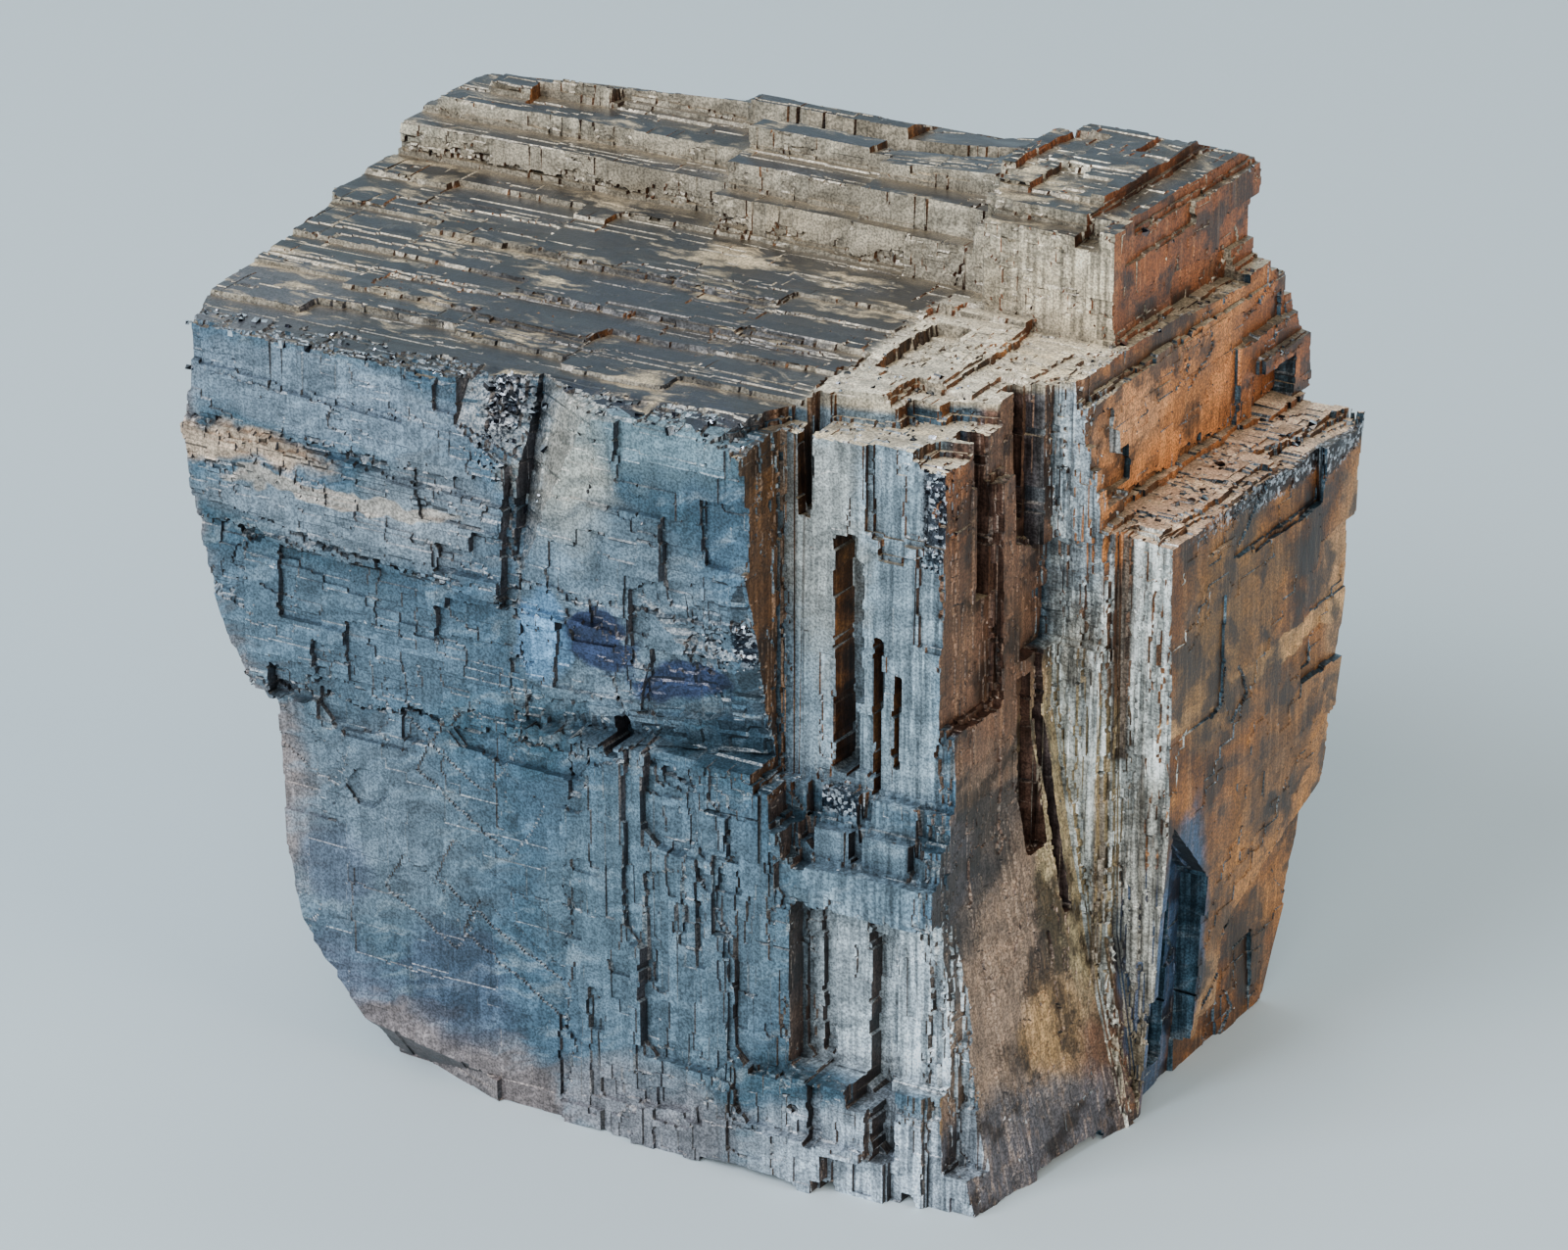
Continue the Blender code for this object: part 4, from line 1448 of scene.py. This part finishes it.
    def tone(self, graph: Graph, speck, brush, stripes, sideways) -> bpy.types.NodeSocket:
        """How light a place is beside its neighbours: by plate, speckle, streak and stripe.

        Args:
            graph: The nodes being laid out.
            speck: Fine noise.
            brush: Noise drawn out along the side's streaks.
            stripes: Noise of upright stripes.
            sideways: The place's X in millimetres, as the stripes are stronger to the right.

        Returns:
            The factor socket, about one.
        """
        tint = graph.add("Attribute", out="Fac", attribute_name="plate_tint", attribute_type="GEOMETRY")
        tone = graph.ramp(tint, 0.0, 1.0, 0.78, 1.22)
        tone = graph.math("MULTIPLY", tone, graph.ramp(speck, 0.34, 0.66, 0.55, 1.45))
        tone = graph.math("MULTIPLY", tone, graph.ramp(brush, 0.34, 0.66, 0.72, 1.28))
        upright = graph.ramp(sideways, -20.0, -3.0, *self.lines)
        lines = graph.math("MULTIPLY_ADD", graph.ramp(stripes, 0.34, 0.66, -1.0, 1.0), upright, 1.0)
        return graph.math("MULTIPLY", tone, lines)

    def make(self) -> bpy.types.Material:
        """Lays out the material.

        Returns:
            The material.
        """
        graph = Graph(self.name)
        place = graph.add("TexCoord", out="Object")
        scale = [1 / MM] * 3
        shift = [-FOOT[0], -FOOT[1], -FOOT[2]]
        place = graph.add("VectorMath", {0: place, 1: scale, 2: shift}, operation="MULTIPLY_ADD")
        sideways = graph.add("SeparateXYZ", {0: place})
        # the stains' outlines wander over about 5 mm
        drift = graph.noise(place, 0.2, 2.0, out=1)
        drift = graph.add("VectorMath", {0: drift, 1: (0.5, 0.5, 0.5)}, operation="SUBTRACT")
        wander = graph.add("VectorMath", {0: drift, 1: (4.0,) * 3, 2: place}, operation="MULTIPLY_ADD")

        normal = graph.add("NewGeometry", out="True Normal")
        settings = {"vector_type": "NORMAL", "convert_from": "WORLD", "convert_to": "OBJECT"}
        normal = graph.add("VectorTransform", {0: normal}, **settings)
        upward = graph.add("SeparateXYZ", {0: normal}, out=2)
        lean = graph.add("SeparateXYZ", {0: graph.add("VectorMath", {0: normal}, operation="ABSOLUTE")}).node
        squarest = graph.math("MAXIMUM", lean.outputs[1], lean.outputs[2])
        squarest = graph.math("MAXIMUM", lean.outputs[0], squarest)
        riser = graph.ramp(squarest, 0.965, 0.88)

        # clouds of about 9 mm
        broad = graph.noise(wander, 0.11, 3.0)
        fallen = wander
        if self.brush.turn:
            settings = {"Vector": wander, "Angle": math.radians(self.brush.turn)}
            fallen = graph.add("VectorRotate", settings, rotation_type="Y_AXIS")
        drawn = self.stretched(graph, fallen, self.brush.stretch)
        brush = graph.noise(drawn, self.brush.scale, self.brush.detail)
        # upright stripes about 0.5 mm wide and 8.5 mm long
        stripes = graph.noise(self.stretched(graph, place, (2.2, 2.2, 0.13)), 0.9, 2.0)
        # speckle of 0.2 mm: on the lump it is about 0.1 to 0.15 mm, too fine to show, so it is
        # drawn coarser
        speck = graph.noise(place, 5.0, 2.0)
        shade = graph.add("AmbientOcclusion", {"Distance": 2.4 * MM}, out="AO", samples=2, only_local=True)

        colour = self.tarnish(graph, place, wander, broad, brush, stripes, shade)
        colour = self.edges(graph, colour, riser, upward, speck, shade)
        rough = graph.math("MULTIPLY_ADD", riser, 0.1, graph.ramp(brush, 0.3, 0.7, 0.32, 0.5))
        metal = self.metallic
        if self.crushed:
            covers = [self.cover(graph, place, patch, speck) for patch in self.crushed]
            crushed = covers[0]
            for cover in covers[1:]:
                crushed = graph.math("MAXIMUM", crushed, cover)
            crushed = graph.math("MULTIPLY", crushed, 0.85)
            # cells of about 0.3 mm, for crushed grains of 0.2 to 0.4 mm
            settings = {"Vector": place, "Scale": 3.2}
            cells = graph.add("TexVoronoi", settings, out="Color", distance="CHEBYCHEV")
            cells = graph.ramp(graph.add("SeparateXYZ", {0: cells}), 0.55, 1.0)
            crumbs = graph.blend(cells, srgb(self.crumb_dark), srgb(self.crumb_light))
            colour = graph.blend(crushed, colour, crumbs)
            rough = graph.math("MULTIPLY_ADD", crushed, -0.12, rough)
            metal = graph.ramp(crushed, 0.0, 1.0, self.metallic, 1.0)
        tone = self.tone(graph, speck, brush, stripes, sideways)
        colour = graph.add("VectorMath", {0: colour, "Scale": tone}, operation="SCALE")

        relief = graph.noise(self.stretched(graph, place, (1.0, 1.0, 0.35)), 5.0, 2.0)
        bump = graph.add("Bump", {"Strength": 0.5, "Distance": 0.05 * MM, "Height": relief})
        settings = {"Base Color": colour, "Metallic": metal, "Roughness": rough, "Normal": bump}
        return graph.close(graph.add("BsdfPrincipled", settings))


def near_to(patches: tuple[Patch, ...], low: float, high: float) -> tuple[Patch, ...]:
    """Keeps the patches that come near a stretch of X.

    Args:
        patches: The patches, in the order they are laid.
        low: Left end of the stretch, in millimetres.
        high: Right end of the stretch, in millimetres.

    Returns:
        Those that reach it, in the same order.
    """
    room = 4.0
    return tuple(patch for patch in patches if patch.high[0] > low - room and patch.low[0] < high + room)


def front_finish(name: str, low: float, high: float) -> GalenaFinish:
    """The front's finish over a stretch of X, with the stains that reach it.

    Args:
        name: The material's name.
        low: Left end of the stretch, in millimetres.
        high: Right end of the stretch, in millimetres.

    Returns:
        The finish.
    """
    tones = ("4c6678", "34505e", "7d878c")
    brush = Brush((0.22, 0.4, 1.0), 0.8, turn=20.0)
    patches, crushed = near_to(FRONT_PATCHES, low, high), near_to(FRONT_CRUSHED, low, high)
    return GalenaFinish(name, tones, brush, patches, crushed, lines=(0.15, 0.6))


FINISHES = {
    Area.FRONT_LEFT: front_finish("galena_front_left", -86.0, -21.0),
    Area.FRONT_RIGHT: front_finish("galena_front_right", -21.0, 8.0),
    # the faces that look right: brown, with orange painted in for the warm light they reflect
    Area.RIGHT: GalenaFinish(
        "galena_right", ("7c4c24", "2c190b", "ac7238"), Brush((1.0, 0.8, 1.0), 0.22, detail=5.0),
        RIGHT_PATCHES, RIM_CRUSHED[1:], RIGHT_PAINTED_SHADE, mottle=0.75, edge_highlight_share=0.12,
        lines=(0.3, 0.16),
    ),
    Area.TOP: GalenaFinish(
        "galena_top", ("1a202a", "0d1016", "6a6860"), Brush((0.16, 1.0, 1.0), 0.5, detail=5.0),
        TOP_PATCHES, RIM_CRUSHED, dusty=0.62, edge_highlight_share=0.14, dust="dcc49c", metallic=0.25,
    ),
    Area.UNSEEN: GalenaFinish(
        "galena_back", ("66727c", "484e56", "9a8f84"), Brush((0.4, 0.4, 1.0), 0.6, turn=-15.0),
        BACK_PATCHES,
    ),
}


@dataclass(frozen=True)
class FreshGalenaFinish:
    """Freshly broken galena: bright lead-grey metal, each crumb lighter or darker at random."""

    name: str = "galena_fresh"
    dark: str = "15161c"
    light: str = "dfe3ea"

    def make(self) -> bpy.types.Material:
        """Lays out the material.

        Returns:
            The material.
        """
        graph = Graph(self.name)
        tint = graph.add("Attribute", out="Fac", attribute_name="plate_tint", attribute_type="GEOMETRY")
        colour = graph.blend(graph.ramp(tint, 0.35, 0.95), srgb(self.dark), srgb(self.light))
        rough = graph.ramp(tint, 0.0, 1.0, 0.45, 0.2)
        settings = {"Base Color": colour, "Metallic": 1.0, "Roughness": rough}
        return graph.close(graph.add("BsdfPrincipled", settings))


@dataclass(frozen=True)
class PaperFinish:
    """Matt studio paper, pale blue-grey with no sheen."""

    name: str = "studio_paper"
    colour: str = "ccdbe0"

    def make(self) -> bpy.types.Material:
        """Lays out the material.

        Returns:
            The material.
        """
        graph = Graph(self.name)
        place = graph.add("TexCoord", out="Object")
        cloudy = graph.noise(place, 3.0, 2.0)
        lighter = graph.blend(graph.ramp(cloudy, 0.3, 0.7, 0.0, 0.05), srgb(self.colour), srgb("ffffff"))
        return graph.close(graph.add("BsdfPrincipled", {"Base Color": lighter, "Roughness": 0.9}))


@dataclass
class Studio:
    """Paper sweep, soft lights and the camera."""

    azimuth: float = 30.5
    elevation: float = 23.0
    stand: tuple[float, float, float] = (234.58, -394.37, 228.59)
    lens: float = 135.0
    sensor: float = 36.0
    bend: float = 0.35
    bend_steps: int = 12
    half_width: float = 3.0

    def sweep(self) -> bpy.types.Object:
        """Makes the paper: a floor that curves up to a wall behind the specimen.

        Returns:
            The paper's object.
        """
        bpy.ops.object.select_all(action="DESELECT")
        bpy.ops.mesh.primitive_plane_add(size=1.0)
        paper = bpy.context.object
        paper.name = "backdrop"
        bend, steps, half_width = self.bend, self.bend_steps, self.half_width
        profile = [(-1.4, 0.0), (bend, 0.0)]
        for step in range(1, steps + 1):
            angle = math.pi / 2 * step / steps
            profile.append((bend + bend * math.sin(angle), bend * (1 - math.cos(angle))))
        profile.append((bend * 2, 2.4))
        away = Vector((-math.sin(math.radians(self.azimuth)), math.cos(math.radians(self.azimuth)), 0.0))
        across = Vector((away.y, -away.x, 0.0))
        points, faces = [], []
        for along, height in profile:
            for side in (-half_width, half_width):
                points.append(away * along + across * side + Vector((0.0, 0.0, height)))
        for row in range(len(profile) - 1):
            faces.append((row * 2, row * 2 + 1, row * 2 + 3, row * 2 + 2))
        paper.data.clear_geometry()
        paper.data.from_pydata([tuple(point) for point in points], [], faces)
        paper.data.materials.append(PaperFinish().make())
        bpy.ops.object.shade_smooth()
        return paper

    def light(self, name: str, place: tuple, size: float, power: float, colour: str) -> bpy.types.Object:
        """Adds a soft square light that looks at the specimen.

        Args:
            name: The light's name.
            place: Where it stands, in metres.
            size: Length of its side, in metres.
            power: Its power, in watts.
            colour: Its colour, as hex.

        Returns:
            The light's object.
        """
        data = bpy.data.lights.new(name, "AREA")
        data.size = size
        data.energy = power
        data.color = srgb(colour)[:3]
        lamp = bpy.data.objects.new(name, data)
        bpy.context.collection.objects.link(lamp)
        lamp.location = place
        target = Vector((0.0, 0.0, 0.035))
        lamp.rotation_euler = (target - Vector(place)).to_track_quat("-Z", "Y").to_euler()
        return lamp

    def camera(self) -> bpy.types.Object:
        """Sets the camera.

        Returns:
            The camera's object.
        """
        turn, lift = math.radians(self.azimuth), math.radians(self.elevation)
        back = Vector((math.sin(turn) * math.cos(lift), -math.cos(turn) * math.cos(lift), math.sin(lift)))
        right = Vector((math.cos(turn), math.sin(turn), 0.0))
        up = back.cross(right)
        data = bpy.data.cameras.new("camera")
        data.lens = self.lens
        data.sensor_width = self.sensor
        data.clip_start = 0.01
        data.clip_end = 20.0
        camera = bpy.data.objects.new("camera", data)
        bpy.context.collection.objects.link(camera)
        turned_to = Matrix((right, up, back)).transposed().to_4x4()
        camera.matrix_world = Matrix.Translation(Vector(self.stand) * MM) @ turned_to
        bpy.context.scene.camera = camera
        return camera

    def build(self) -> None:
        """Makes the paper, the lights and the camera."""
        self.sweep()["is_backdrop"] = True
        self.light("key", (-0.38, -0.85, 0.8), 0.7, 15.0, "eef4ff")
        self.light("front_fill", (0.45, -0.9, 0.5), 0.6, 5.0, "f6f6f4")
        self.light("fill_right", (0.95, -0.1, 0.45), 0.6, 4.0, "ffe6cc")
        self.light("back_rim", (-0.2, 0.6, 1.0), 0.5, 2.4, "f4f7ff")
        world = bpy.data.worlds.new("studio_air")
        bpy.context.scene.world = world
        world.use_nodes = True
        air = world.node_tree.nodes["Background"].inputs
        air["Color"].default_value = srgb("cad4d8")
        air["Strength"].default_value = 0.6
        self.camera()


def main() -> None:
    """Builds the specimen and the studio, and attaches each piece to the root body."""
    logging.basicConfig(level=logging.INFO, format="%(name)s: %(message)s")
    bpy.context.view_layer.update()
    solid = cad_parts["galena"]
    low, high = (np.array(corner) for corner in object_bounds())
    finishes = {area: finish.make() for area, finish in FINISHES.items()}
    specimen = Specimen()
    plates = specimen.build(solid, finishes)
    fresh = FreshGalenaFinish().make()
    pieces = (plates, CrushedGrains(FRINGES).build(specimen.sheet_table, low, high, fresh))
    for piece in pieces:
        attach(piece, "root")
        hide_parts("galena")
    Studio().build()


if __name__ == "__main__":
    main()
